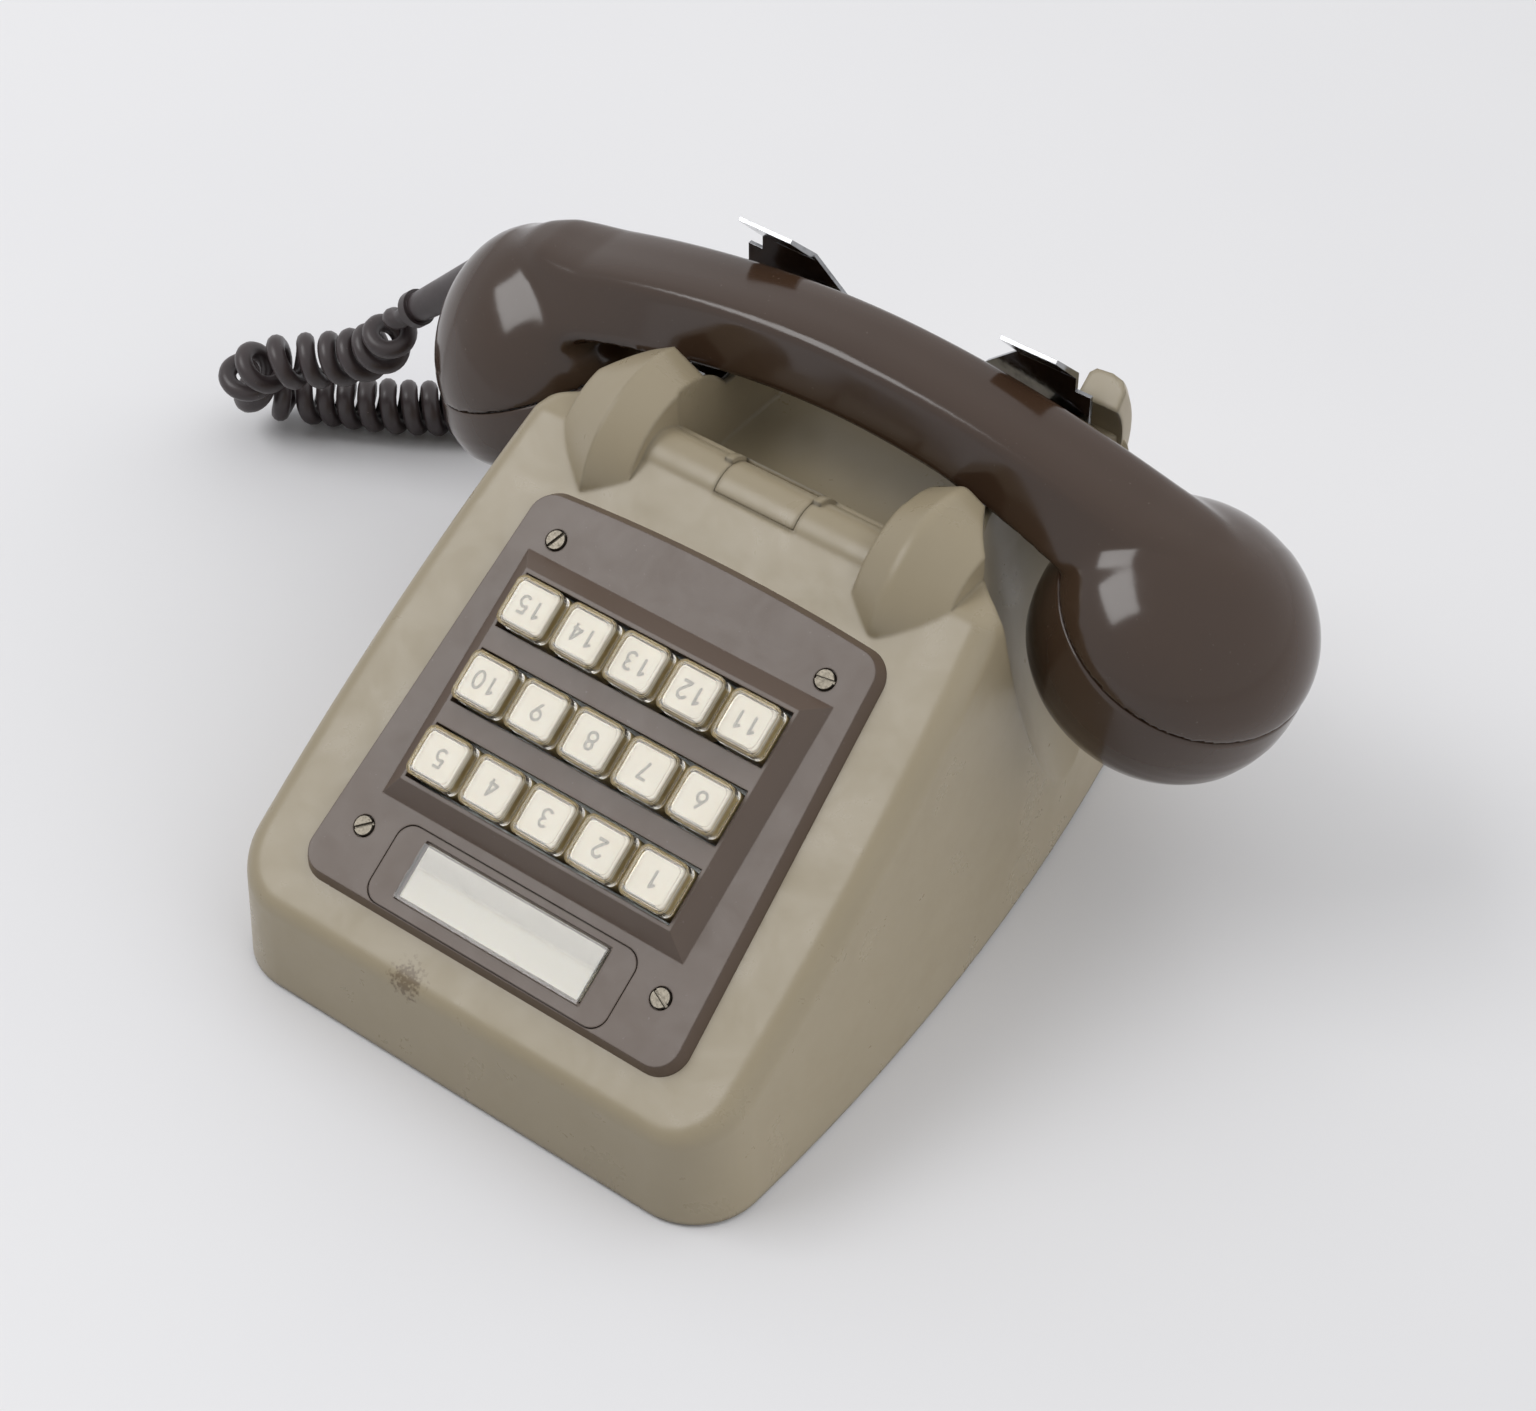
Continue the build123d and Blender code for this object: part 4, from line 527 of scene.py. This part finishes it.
def evenStroke(stroke):  # extra points beside each corner keep the pen's width along straight lines
    points = [Vector(stroke[0])]
    for start, end in zip(stroke, stroke[1:]):
        start, end = Vector(start), Vector(end)
        if (end - start).length > 0.15:
            points += [start.lerp(end, 0.03 / (end - start).length), end.lerp(start, 0.03 / (end - start).length)]
        points.append(end)
    return points


def printNumber(name, text, centre):  # reads from the rear of the set, so its top points down the slope
    data = bpy.data.curves.new(name, "CURVE")
    data.dimensions = "3D"
    data.bevel_depth = digitLook["pen"] / digitLook["height"]
    data.bevel_resolution = 2
    data.use_fill_caps = True
    for index, digit in enumerate(text):
        for stroke in map(evenStroke, digitStrokes[digit]):
            spline = data.splines.new("POLY")
            spline.points.add(len(stroke) - 1)
            for point, (x, y) in zip(spline.points, stroke):
                point.co = (x + index * digitLook["step"], y - 0.5, 0, 1)
    piece = linkedObject(name, data)
    mesh = workedOutMesh(piece)
    bpy.data.objects.remove(piece)
    wide = digitLook["width"] + digitLook["step"] * (len(text) - 1)
    size = digitLook["height"] / 1000
    mesh.transform(Matrix.Translation((-wide / 2, 0, 0)))
    mesh.transform(Matrix.Diagonal((size, size, size * 0.1, 1)))
    lean = Euler((slope, 0, 0)).to_matrix().to_4x4()
    mesh.transform(Matrix.Translation(centre) @ lean @ Matrix.Rotation(math.pi, 4, "Z"))
    mesh.materials.append(greyInk)
    return linkedObject(name, mesh)


shoulder = capLook["top"] - capLook["height"]
innerSize = (capLook["width"] - 2 * capLook["wall"], capLook["depth"] - 2 * capLook["wall"],
             capLook["height"] - capLook["roof"])
coreSize = (innerSize[0] - 2 * capLook["fit"], innerSize[1] - 2 * capLook["fit"], innerSize[2] - capLook["roofGap"])
for number in keyNumbers:
    column, row = (number - 1) % capLook["columns"], (number - 1) // capLook["columns"]
    across, up = (2 - column) * capLook["pitch"], (row - 1) * capLook["rowPitch"]
    body = f"key_unit_{number:02d}"
    cap = growPiece(f"clear_cap_{number:02d}", capTree, {
        "Size": [capLook[k] / 1000 for k in ("width", "depth", "height")], "Corner": capLook["corner"] / 1000,
        "Rim": capLook["rim"] / 1000, "Sink": capLook["sink"] / 1000, "Inner Size": [v / 1000 for v in innerSize],
        "Inner Corner": capLook["innerCorner"] / 1000,
        "Centre": deckPoint(across, up, shoulder + capLook["seatGap"])})
    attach(cap, body)
    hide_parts(f"key_cap_{number:02d}")
    plunger = growPiece(f"key_plunger_{number:02d}", insertTree, {
        "Core Size": [v / 1000 for v in coreSize], "Core Corner": (capLook["innerCorner"] - capLook["fit"]) / 1000,
        "Core Rim": capLook["coreRim"] / 1000,
        "Body Size": (capLook["width"] / 1000, capLook["depth"] / 1000, capLook["bodyHeight"] / 1000),
        "Body Corner": capLook["corner"] / 1000, "Body Drop": (0, 0, -capLook["bodyHeight"] / 1000),
        "Stem Size": (capLook["stem"] / 1000, capLook["stem"] / 1000,
                      (capLook["stemLength"] + capLook["stemOverlap"]) / 1000),
        "Stem Drop": (0, 0, -(capLook["bodyHeight"] + capLook["stemLength"]) / 1000),
        "Centre": deckPoint(across, up, shoulder)})
    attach(plunger, body)
    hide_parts(f"key_{number:02d}")
    digits = printNumber(f"key_number_{number:02d}", str(number),
                         deckPoint(across, up, shoulder + coreSize[2] + capLook["inkLift"]))
    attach(digits, body)
print("fifteen key caps, inserts and numbers")

# Faceplate screws: turned slotted heads, each stopped at its own angle
screwLook = {"headRadius": 2.35, "headHeight": 1.5, "rimCut": 0.22, "slotWidth": 0.7, "slotDepth": 0.75,
             "slotLength": 10, "seat": 2.0,
             "spots": [(-35.7, 34.8, 65), (35.7, 34.8, 8), (-40.1, -38.7, 40), (40.1, -38.7, -25)]}
screwTree, screwIn = startTree("slotted screws", {
    "Head Radius": "Float", "Rim Radius": "Float", "Head Height": "Float", "Slot Size": "Vector",
    "Slot Place": "Vector", "Centre": "Vector"})
headShape = addNode(screwTree, "GeometryNodeMeshCone", {}, {
    "Vertices": 64, "Side Segments": 3, "Radius Top": screwIn["Rim Radius"], "Radius Bottom": screwIn["Head Radius"],
    "Depth": screwIn["Head Height"]}).outputs[0]
slotBlock = addNode(screwTree, "GeometryNodeMeshCube", {}, {"Size": screwIn["Slot Size"]}).outputs[0]
slotPlaced = addNode(screwTree, "GeometryNodeTransform", {},
                     {"Geometry": slotBlock, "Translation": screwIn["Slot Place"]}).outputs[0]
slottedHead = addNode(screwTree, "GeometryNodeMeshBoolean", {"operation": "DIFFERENCE", "solver": "EXACT"},
                      {"Mesh 1": headShape, "Mesh 2": slotPlaced}).outputs[0]
turnRead = addNode(screwTree, "GeometryNodeInputNamedAttribute", {"data_type": "FLOAT"}, {"Name": "turn"}).outputs[0]
turnAngle = addNode(screwTree, "ShaderNodeCombineXYZ", {}, {2: turnRead}).outputs[0]
screwHeads = addNode(screwTree, "GeometryNodeInstanceOnPoints", {},
                     {"Points": screwIn["Geometry"], "Instance": slottedHead, "Rotation": turnAngle}).outputs[0]
screwsPlaced = addNode(screwTree, "GeometryNodeTransform", {},
                       {"Geometry": screwHeads, "Translation": screwIn["Centre"], "Rotation": (slope, 0, 0)}).outputs[0]
endTree(screwTree, screwsPlaced, turnedNickel)
screwSpots = bpy.data.meshes.new("screwSpots")
screwSpots.from_pydata([(u / 1000, v / 1000, screwLook["seat"] / 1000) for u, v, turn in screwLook["spots"]], [], [])
turnData = screwSpots.attributes.new("turn", "FLOAT", "POINT")
for entry, (u, v, turn) in zip(turnData.data, screwLook["spots"]):
    entry.value = math.radians(turn)
slottedScrews = growPiece("slotted_screws", screwTree, {
    "Head Radius": screwLook["headRadius"] / 1000,
    "Rim Radius": (screwLook["headRadius"] - screwLook["rimCut"]) / 1000,
    "Head Height": screwLook["headHeight"] / 1000,
    "Slot Size": (screwLook["slotLength"] / 1000, screwLook["slotWidth"] / 1000, 2 * screwLook["slotDepth"] / 1000),
    "Slot Place": (0, 0, screwLook["headHeight"] / 1000), "Centre": deckOrigin}, screwSpots)
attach(slottedScrews, "base")
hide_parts("faceplate_screws")
print("faceplate screws")

# Handset: bowls turned about their leaning axes, and a handle that flows over them, in one skin
handsetLook = {
    "bowlY": 43.4, "rim": 29.6, "crown": 31.8, "roundness": 1.77, "voxel": 0.7, "evenRounds": 4, "domeSteps": 30,
    "handleY": 45.1, "handleTop": 113.8, "handleFall": 11.7, "fallPower": 1.91, "spreadPower": 2.5, "reach": 75.0,
    "evenReach": 73, "halfTop": 9.8, "halfBottom": 12.7, "endSpread": 8.0, "thick": 15.3, "corner": 2.4,
    "crownRise": 0.9, "rest": [(80, 101.6, 0.95), (86, 100.9, 0.86), (92, 99.3, 0.66), (98, 95.6, 0.36)]}
bowlLooks = {
    "mouth": {"side": -1, "x": -85.4, "z": 67.7, "tilt": 26.0, "seam": 1.3},
    "ear": {"side": 1, "x": 81.9, "z": 70.3, "tilt": 23.5, "seam": 8.8}}


def bowlPoint(bowl, radius, along, angle):  # a point of a turned form, by its radius and its place on the bowl's axis
    tilt = math.radians(bowl["tilt"])
    axis = Vector((bowl["side"] * math.sin(tilt), 0, math.cos(tilt)))
    front = Vector((0, 1, 0))
    spot = axis * along + front * radius * math.cos(angle) + axis.cross(front) * radius * math.sin(angle)
    return (spot + Vector((bowl["x"], handsetLook["bowlY"], bowl["z"]))) / 1000


def turnedPart(bowl, profile, count=128):  # closed form: the profile runs from the axis round to the axis
    points = [bowlPoint(bowl, *profile[0], 0)]
    for radius, along in profile[1:-1]:
        points += [bowlPoint(bowl, radius, along, 2 * math.pi * k / count) for k in range(count)]
    points.append(bowlPoint(bowl, *profile[-1], 0))
    rings, faces = len(profile) - 2, []
    for k in range(count):
        after = (k + 1) % count
        faces.append((0, 1 + after, 1 + k))
        for ring in range(rings - 1):
            low = 1 + ring * count
            faces.append((low + k, low + after, low + count + after, low + count + k))
        last = 1 + (rings - 1) * count
        faces.append((last + k, last + after, len(points) - 1))
    return points, faces


def domeProfile(bowl):
    steps = [math.pi / 2 * k / handsetLook["domeSteps"] for k in range(handsetLook["domeSteps"] + 1)]
    power = 2 / handsetLook["roundness"]
    rise = handsetLook["crown"] - bowl["seam"]
    outline = [(handsetLook["rim"] * max(math.cos(s), 0) ** power,
                bowl["seam"] + rise * math.sin(s) ** power) for s in steps]
    return [(0, bowl["seam"])] + outline[:-1] + [(0, handsetLook["crown"])]


def roundedLoop(corners, radius, steps=6):  # outline with an arc at each corner
    loop = []
    for k, corner in enumerate(corners):
        before, here, after = Vector(corners[k - 1]), Vector(corner), Vector(corners[(k + 1) % len(corners)])
        back, ahead = (before - here).normalized(), (after - here).normalized()
        for step in range(steps + 1):
            share = step / steps
            loop.append(here + back * radius * (1 - share) ** 2 + ahead * radius * share ** 2)
    return loop


def handleSection(across, top, width):
    share = min(abs(across) / handsetLook["reach"], 1)
    spread = handsetLook["endSpread"] * share ** handsetLook["spreadPower"] * width
    halfTop, halfBottom = handsetLook["halfTop"] * width, handsetLook["halfBottom"] * width + spread
    bottom = top - handsetLook["thick"]
    corners = [(-halfTop, top), (-halfTop / 2, top + handsetLook["crownRise"]),
               (halfTop / 2, top + handsetLook["crownRise"]), (halfTop, top), (halfBottom, bottom),
               (-halfBottom, bottom)]
    loop = roundedLoop(corners, handsetLook["corner"])
    return [Vector((across, handsetLook["handleY"] + y, z)) / 1000 for y, z in loop]


def handleTop(across):
    share = abs(across) / handsetLook["reach"]
    return handsetLook["handleTop"] - handsetLook["handleFall"] * share ** handsetLook["fallPower"]


def handsetSkin():
    stations = [(x, handleTop(x), 1) for x in range(-handsetLook["evenReach"], handsetLook["evenReach"] + 1)]
    stations = [(-x, z, w) for x, z, w in reversed(handsetLook["rest"])] + stations + handsetLook["rest"]
    loops = [handleSection(*station) for station in stations]
    size = len(loops[0])
    points = [point for loop in loops for point in loop]
    faces = [tuple(range(size)), tuple(reversed(range(len(points) - size, len(points))))]
    for ring in range(len(loops) - 1):
        for k in range(size):
            after = (k + 1) % size
            low, high = ring * size, (ring + 1) * size
            faces.append((low + k, high + k, high + after, low + after))
    for bowl in bowlLooks.values():
        domePoints, domeFaces = turnedPart(bowl, domeProfile(bowl))
        faces += [tuple(index + len(points) for index in face) for face in domeFaces]
        points += domePoints
    rough = bpy.data.meshes.new("handset_skin")
    rough.from_pydata(points, [], faces)
    piece = linkedObject("handset_skin", rough)
    rebuild = piece.modifiers.new("rebuild", "REMESH")
    rebuild.mode = "VOXEL"
    rebuild.voxel_size = handsetLook["voxel"] / 1000
    even = piece.modifiers.new("even", "SMOOTH")
    even.iterations = handsetLook["evenRounds"]
    piece.data = workedOutMesh(piece)
    piece.modifiers.clear()
    flowGroup(piece)
    flow = piece.modifiers.new("flow", "SMOOTH")
    flow.factor = flowLook["factor"]
    flow.iterations = flowLook["rounds"]
    flow.vertex_group = "flow"
    finished = workedOutMesh(piece)
    piece.modifiers.clear()
    piece.vertex_groups.clear()
    finished.shade_smooth()
    finished.materials.append(polishedAbsBrown)
    piece.data = finished
    print("handset skin", len(finished.polygons), "faces")
    return piece


# Where the skin is smoothed: beside a bowl's axis, above its seam, under the handle's top and round the bowl
flowLook = {"factor": 0.6, "rounds": 110, "least": 0.01, "inside": 14, "overSeam": 3, "seamFade": 5, "topFree": 101.5,
            "topFade": 4, "topShare": 0.12, "near": 25.0, "nearFade": 5, "far": 47, "farFade": 14}


def flowGroup(piece):  # the stretch where the handle meets the bowls, for the smoothing there
    mesh = piece.data
    places = np.empty(len(mesh.vertices) * 3)
    mesh.vertices.foreach_get("co", places)
    places = places.reshape(-1, 3) * 1000
    group = piece.vertex_groups.new(name="flow")
    total = np.zeros(len(places))
    for bowl in bowlLooks.values():
        away = np.linalg.norm(places - np.array([bowl["x"], handsetLook["bowlY"], bowl["z"]]), axis=1)
        inner = (places[:, 0] - bowl["x"]) * bowl["side"] < flowLook["inside"]
        tilt = math.radians(bowl["tilt"])
        along = (places[:, 0] - bowl["x"]) * bowl["side"] * math.sin(tilt) + (places[:, 2] - bowl["z"]) * math.cos(tilt)
        above = np.clip((along - bowl["seam"] - flowLook["overSeam"]) / flowLook["seamFade"], 0, 1)
        above *= np.clip((flowLook["topFree"] - places[:, 2]) / flowLook["topFade"], flowLook["topShare"], 1)
        total += inner * above * np.clip((away - flowLook["near"]) / flowLook["nearFade"], 0, 1) * np.clip(
            (flowLook["far"] - away) / flowLook["farFade"], 0, 1)
    for index in np.nonzero(total > flowLook["least"])[0]:
        group.add([int(index)], float(min(total[index], 1)), "REPLACE")


def meshPiece(name, points, faces, material):
    mesh = bpy.data.meshes.new(name)
    mesh.from_pydata(points, [], faces)
    mesh.materials.append(material)
    mesh.shade_smooth()
    return linkedObject(name, mesh)


# Crest of the right rear ear, a turned rib that stands over the ear beside the hook
crestLook = {"y": 56.7, "z": 91.6, "start": -35, "end": 36, "steps": 40,
             "section": [(39.5, 15), (39.5, 20.6), (40.6, 22.0), (44.5, 22.4), (47.4, 21.8), (49.2, 19.8), (49.8, 15)]}


def earCrest():
    count, ring = crestLook["steps"], len(crestLook["section"])
    points = []
    for k in range(count + 1):
        angle = math.radians(crestLook["start"] + (crestLook["end"] - crestLook["start"]) * k / count)
        y, z = math.cos(angle), math.sin(angle)
        points += [(x / 1000, (crestLook["y"] + r * y) / 1000, (crestLook["z"] + r * z) / 1000)
                   for x, r in crestLook["section"]]
    faces = [tuple(reversed(range(ring))), tuple(range(count * ring, (count + 1) * ring))]
    for k in range(count):
        low, high = k * ring, (k + 1) * ring
        faces += [(low + i, low + (i + 1) % ring, high + (i + 1) % ring, high + i) for i in range(ring)]
    return meshPiece("rear_ear_crest", points, faces, agedAbsBeige)


handsetPiece = handsetSkin()
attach(handsetPiece, "handset")
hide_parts("handset_body")

# Caps screwed on below the seam, with a dished face and its holes, and the capsules in them
capsLook = {"lip": [(1.2, -1.0), (1.0, -0.12), (0.2, -0.12), (0, -0.32)],  # drawn in from the rim, and over the seam
            "face": 18.8, "faceRadius": 20.5, "edge": [(1.0, 0.35), (2.2, 0)], "flare": 1.2, "dish": 2.0,
            "dishRadius": 6, "hole": 1.5, "holeRing": 9.0, "holeCount": 6, "holeSides": 24, "holeReach": (-3, 6),
            "sideSteps": 24, "capsule": 23.5, "capsuleTop": 6, "capsuleBottom": -8.8, "capsuleBelow": 9.0,
            "capsuleSides": 64,
            "capsuleSteps": [(2, 6), (1, 5.4), (1, 2), (0, 1.6), (0, -8), (1.5, -9.5), (5, -9.5), (6, -8.8)],
            "side": [(0, 0), (0.12, 0.45), (0.25, 0.85), (0.38, 1.0), (0.5, 0.72), (0.64, 0.05), (0.78, -1.2),
                     (0.9, -3.0), (1, -5.6)]}


def screwedCap(name, bowl):
    seam, rim, face = bowl["seam"], handsetLook["rim"], capsLook["face"]
    lip = [(rim - inward, seam + over) for inward, over in capsLook["lip"]]
    outline, low = [(0, lip[0][1])] + lip, lip[-1][1]
    drawIn = (rim - capsLook["faceRadius"]) / -capsLook["side"][-1][1]
    for k in range(1, capsLook["sideSteps"] + 1):  # the side swells a little and then draws in to the face
        share = k / capsLook["sideSteps"]
        along = low + (-face - low) * share
        swell = np.interp(share, [s for s, v in capsLook["side"]], [v for s, v in capsLook["side"]])
        outline.append((rim + capsLook["flare"] * max(swell, 0) + min(swell, 0) * drawIn, along))
    outline += [(capsLook["faceRadius"] - inward, -face - below) for inward, below in capsLook["edge"]]
    outline += [(capsLook["dishRadius"], -face + capsLook["dish"]), (0, -face + capsLook["dish"])]
    points, faces = turnedPart(bowl, outline)
    piece = meshPiece(name, points, [tuple(reversed(face)) for face in faces], polishedAbsBrown)
    count = capsLook["holeCount"]
    holes = [(0, 0)] + [(capsLook["holeRing"], math.tau * k / count) for k in range(count)]
    drillPoints, drillFaces = [], []
    for radius, angle in holes:
        start, ring = len(drillPoints), capsLook["holeSides"]
        for reach in capsLook["holeReach"]:
            for k in range(ring):
                turn = math.tau * k / ring
                x = radius * math.cos(angle) + capsLook["hole"] * math.cos(turn)
                y = radius * math.sin(angle) + capsLook["hole"] * math.sin(turn)
                drillPoints.append(bowlPoint(bowl, math.hypot(x, y), -face + reach, math.atan2(y, x)))
        drillFaces += [tuple(start + k for k in reversed(range(ring))), tuple(start + ring + k for k in range(ring))]
        drillFaces += [(start + k, start + (k + 1) % ring, start + ring + (k + 1) % ring,
                        start + ring + k) for k in range(ring)]
    drills = meshPiece(name + "_drills", drillPoints, drillFaces, polishedAbsBrown)
    cut = piece.modifiers.new("holes", "BOOLEAN")
    cut.operation, cut.solver, cut.object = "DIFFERENCE", "EXACT", drills
    piece.data = workedOutMesh(piece)
    piece.modifiers.clear()
    bpy.data.objects.remove(drills)
    return piece


for bowlName, bowl in bowlLooks.items():
    cap = screwedCap(f"{bowlName}_screwed_cap", bowl)
    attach(cap, "handset")
    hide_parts(f"{bowlName}_cap")
    capsuleSide = [(capsLook["capsule"] - inward, along) for inward, along in capsLook["capsuleSteps"]]
    capsuleOutline = [(0, capsLook["capsuleTop"])] + capsuleSide + [(0, capsLook["capsuleBottom"])]
    lowered = min(bowl["seam"] - capsLook["capsuleBelow"], 0)
    points, faces = turnedPart(bowl, [(r, a + lowered) for r, a in capsuleOutline], capsLook["capsuleSides"])
    capsule = meshPiece(f"{bowlName}_capsule", points, [tuple(reversed(face)) for face in faces], pressedAlloy)
    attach(capsule, "handset")
    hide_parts("transmitter_inset" if bowlName == "mouth" else "receiver_inset")
print("handset and its caps")

crest = earCrest()
for polygon in crest.data.polygons:
    polygon.use_smooth = False
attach(crest, "base")

# Floor, light and world
stageLook = {"floor": "#E8E8EA", "softboxAway": 2.2, "softboxWay": (-0.49, -0.38, 0.78), "softboxSize": (1.35, 1.0),
             "softboxWatts": 17.0, "darkWay": (0.0, -0.98, 0.05), "room": 0.84, "dark": 0.03,
             "fillWay": (0.9, 0.2, 0.35), "fill": 0.45, "floorHalf": 4, "floorShade": "#E3E3E6",
             "mottleMm": 1000 / 6, "aim": (0, 0, 0.06), "back": "#E6E6E8"}
floorData = bpy.data.meshes.new("floor")
half = stageLook["floorHalf"]
floorData.from_pydata([(-half, -half, 0), (half, -half, 0), (half, half, 0), (-half, half, 0)], [], [(0, 1, 2, 3)])
floorObject = linkedObject("floor", floorData)
material, tree, place = newMaterial("matt paper sweep")
mottle = noiseAt(tree, place, stageLook["mottleMm"], 3.0)
floorColour = mixColours(tree, mottle, stageLook["floor"], stageLook["floorShade"])
endMaterial(tree, addNode(tree, "ShaderNodeBsdfPrincipled", {}, {"Base Color": floorColour, "Roughness": 0.9}))
floorData.materials.append(material)

softboxData = bpy.data.lights.new("softbox", "AREA")
softboxData.shape = "RECTANGLE"
softboxData.size, softboxData.size_y = stageLook["softboxSize"]
softboxData.energy = stageLook["softboxWatts"]
softbox = linkedObject("softbox", softboxData)
towards = Vector(stageLook["softboxWay"]).normalized()
softbox.location = Vector(stageLook["aim"]) + towards * stageLook["softboxAway"]
softbox.rotation_euler = towards.to_track_quat("Z", "Y").to_euler()


def softRange(tree, value, low, high, atLow, atHigh):  # like rangeOf, with soft ends
    return addNode(tree, "ShaderNodeMapRange", {"interpolation_type": "SMOOTHSTEP"}, {
        "Value": value, "From Min": low, "From Max": high, "To Min": atLow, "To Max": atHigh}).outputs["Result"]


# World: a room that is dark in front, with pale paper behind all that is seen, mirrored or seen through
world = bpy.data.worlds.new("studio room")
scene.world = world
world.use_nodes = True
tree = world.node_tree
tree.nodes.clear()
direction = addNode(tree, "ShaderNodeTexCoord").outputs["Generated"]
darkness = vectorValue(tree, "DOT_PRODUCT", direction, stageLook["darkWay"])
fillShare = vectorValue(tree, "DOT_PRODUCT", direction, stageLook["fillWay"])
roomLevel = softRange(tree, darkness, 0.2, 0.65, stageLook["room"], stageLook["dark"])
roomLevel = mathOf(tree, "ADD", roomLevel, softRange(tree, fillShare, 0.2, 0.9, 0.0, stageLook["fill"]))
roomLight = addNode(tree, "ShaderNodeBackground", {}, {"Color": linearColour("#FFFFFF"), "Strength": roomLevel})
paleBack = addNode(tree, "ShaderNodeBackground", {}, {"Color": linearColour(stageLook["back"]), "Strength": 1.0})
rayKind = addNode(tree, "ShaderNodeLightPath")
mirrored = mathOf(tree, "MAXIMUM", rayKind.outputs["Is Glossy Ray"], rayKind.outputs["Is Transmission Ray"])
seen = mathOf(tree, "MAXIMUM", rayKind.outputs["Is Camera Ray"], mirrored)
worldMix = addNode(tree, "ShaderNodeMixShader", {}, {0: seen, 1: roomLight.outputs[0], 2: paleBack.outputs[0]})
addNode(tree, "ShaderNodeOutputWorld", {}, {"Surface": worldMix.outputs[0]})
scene.view_settings.view_transform = "Standard"
print("stage lit")
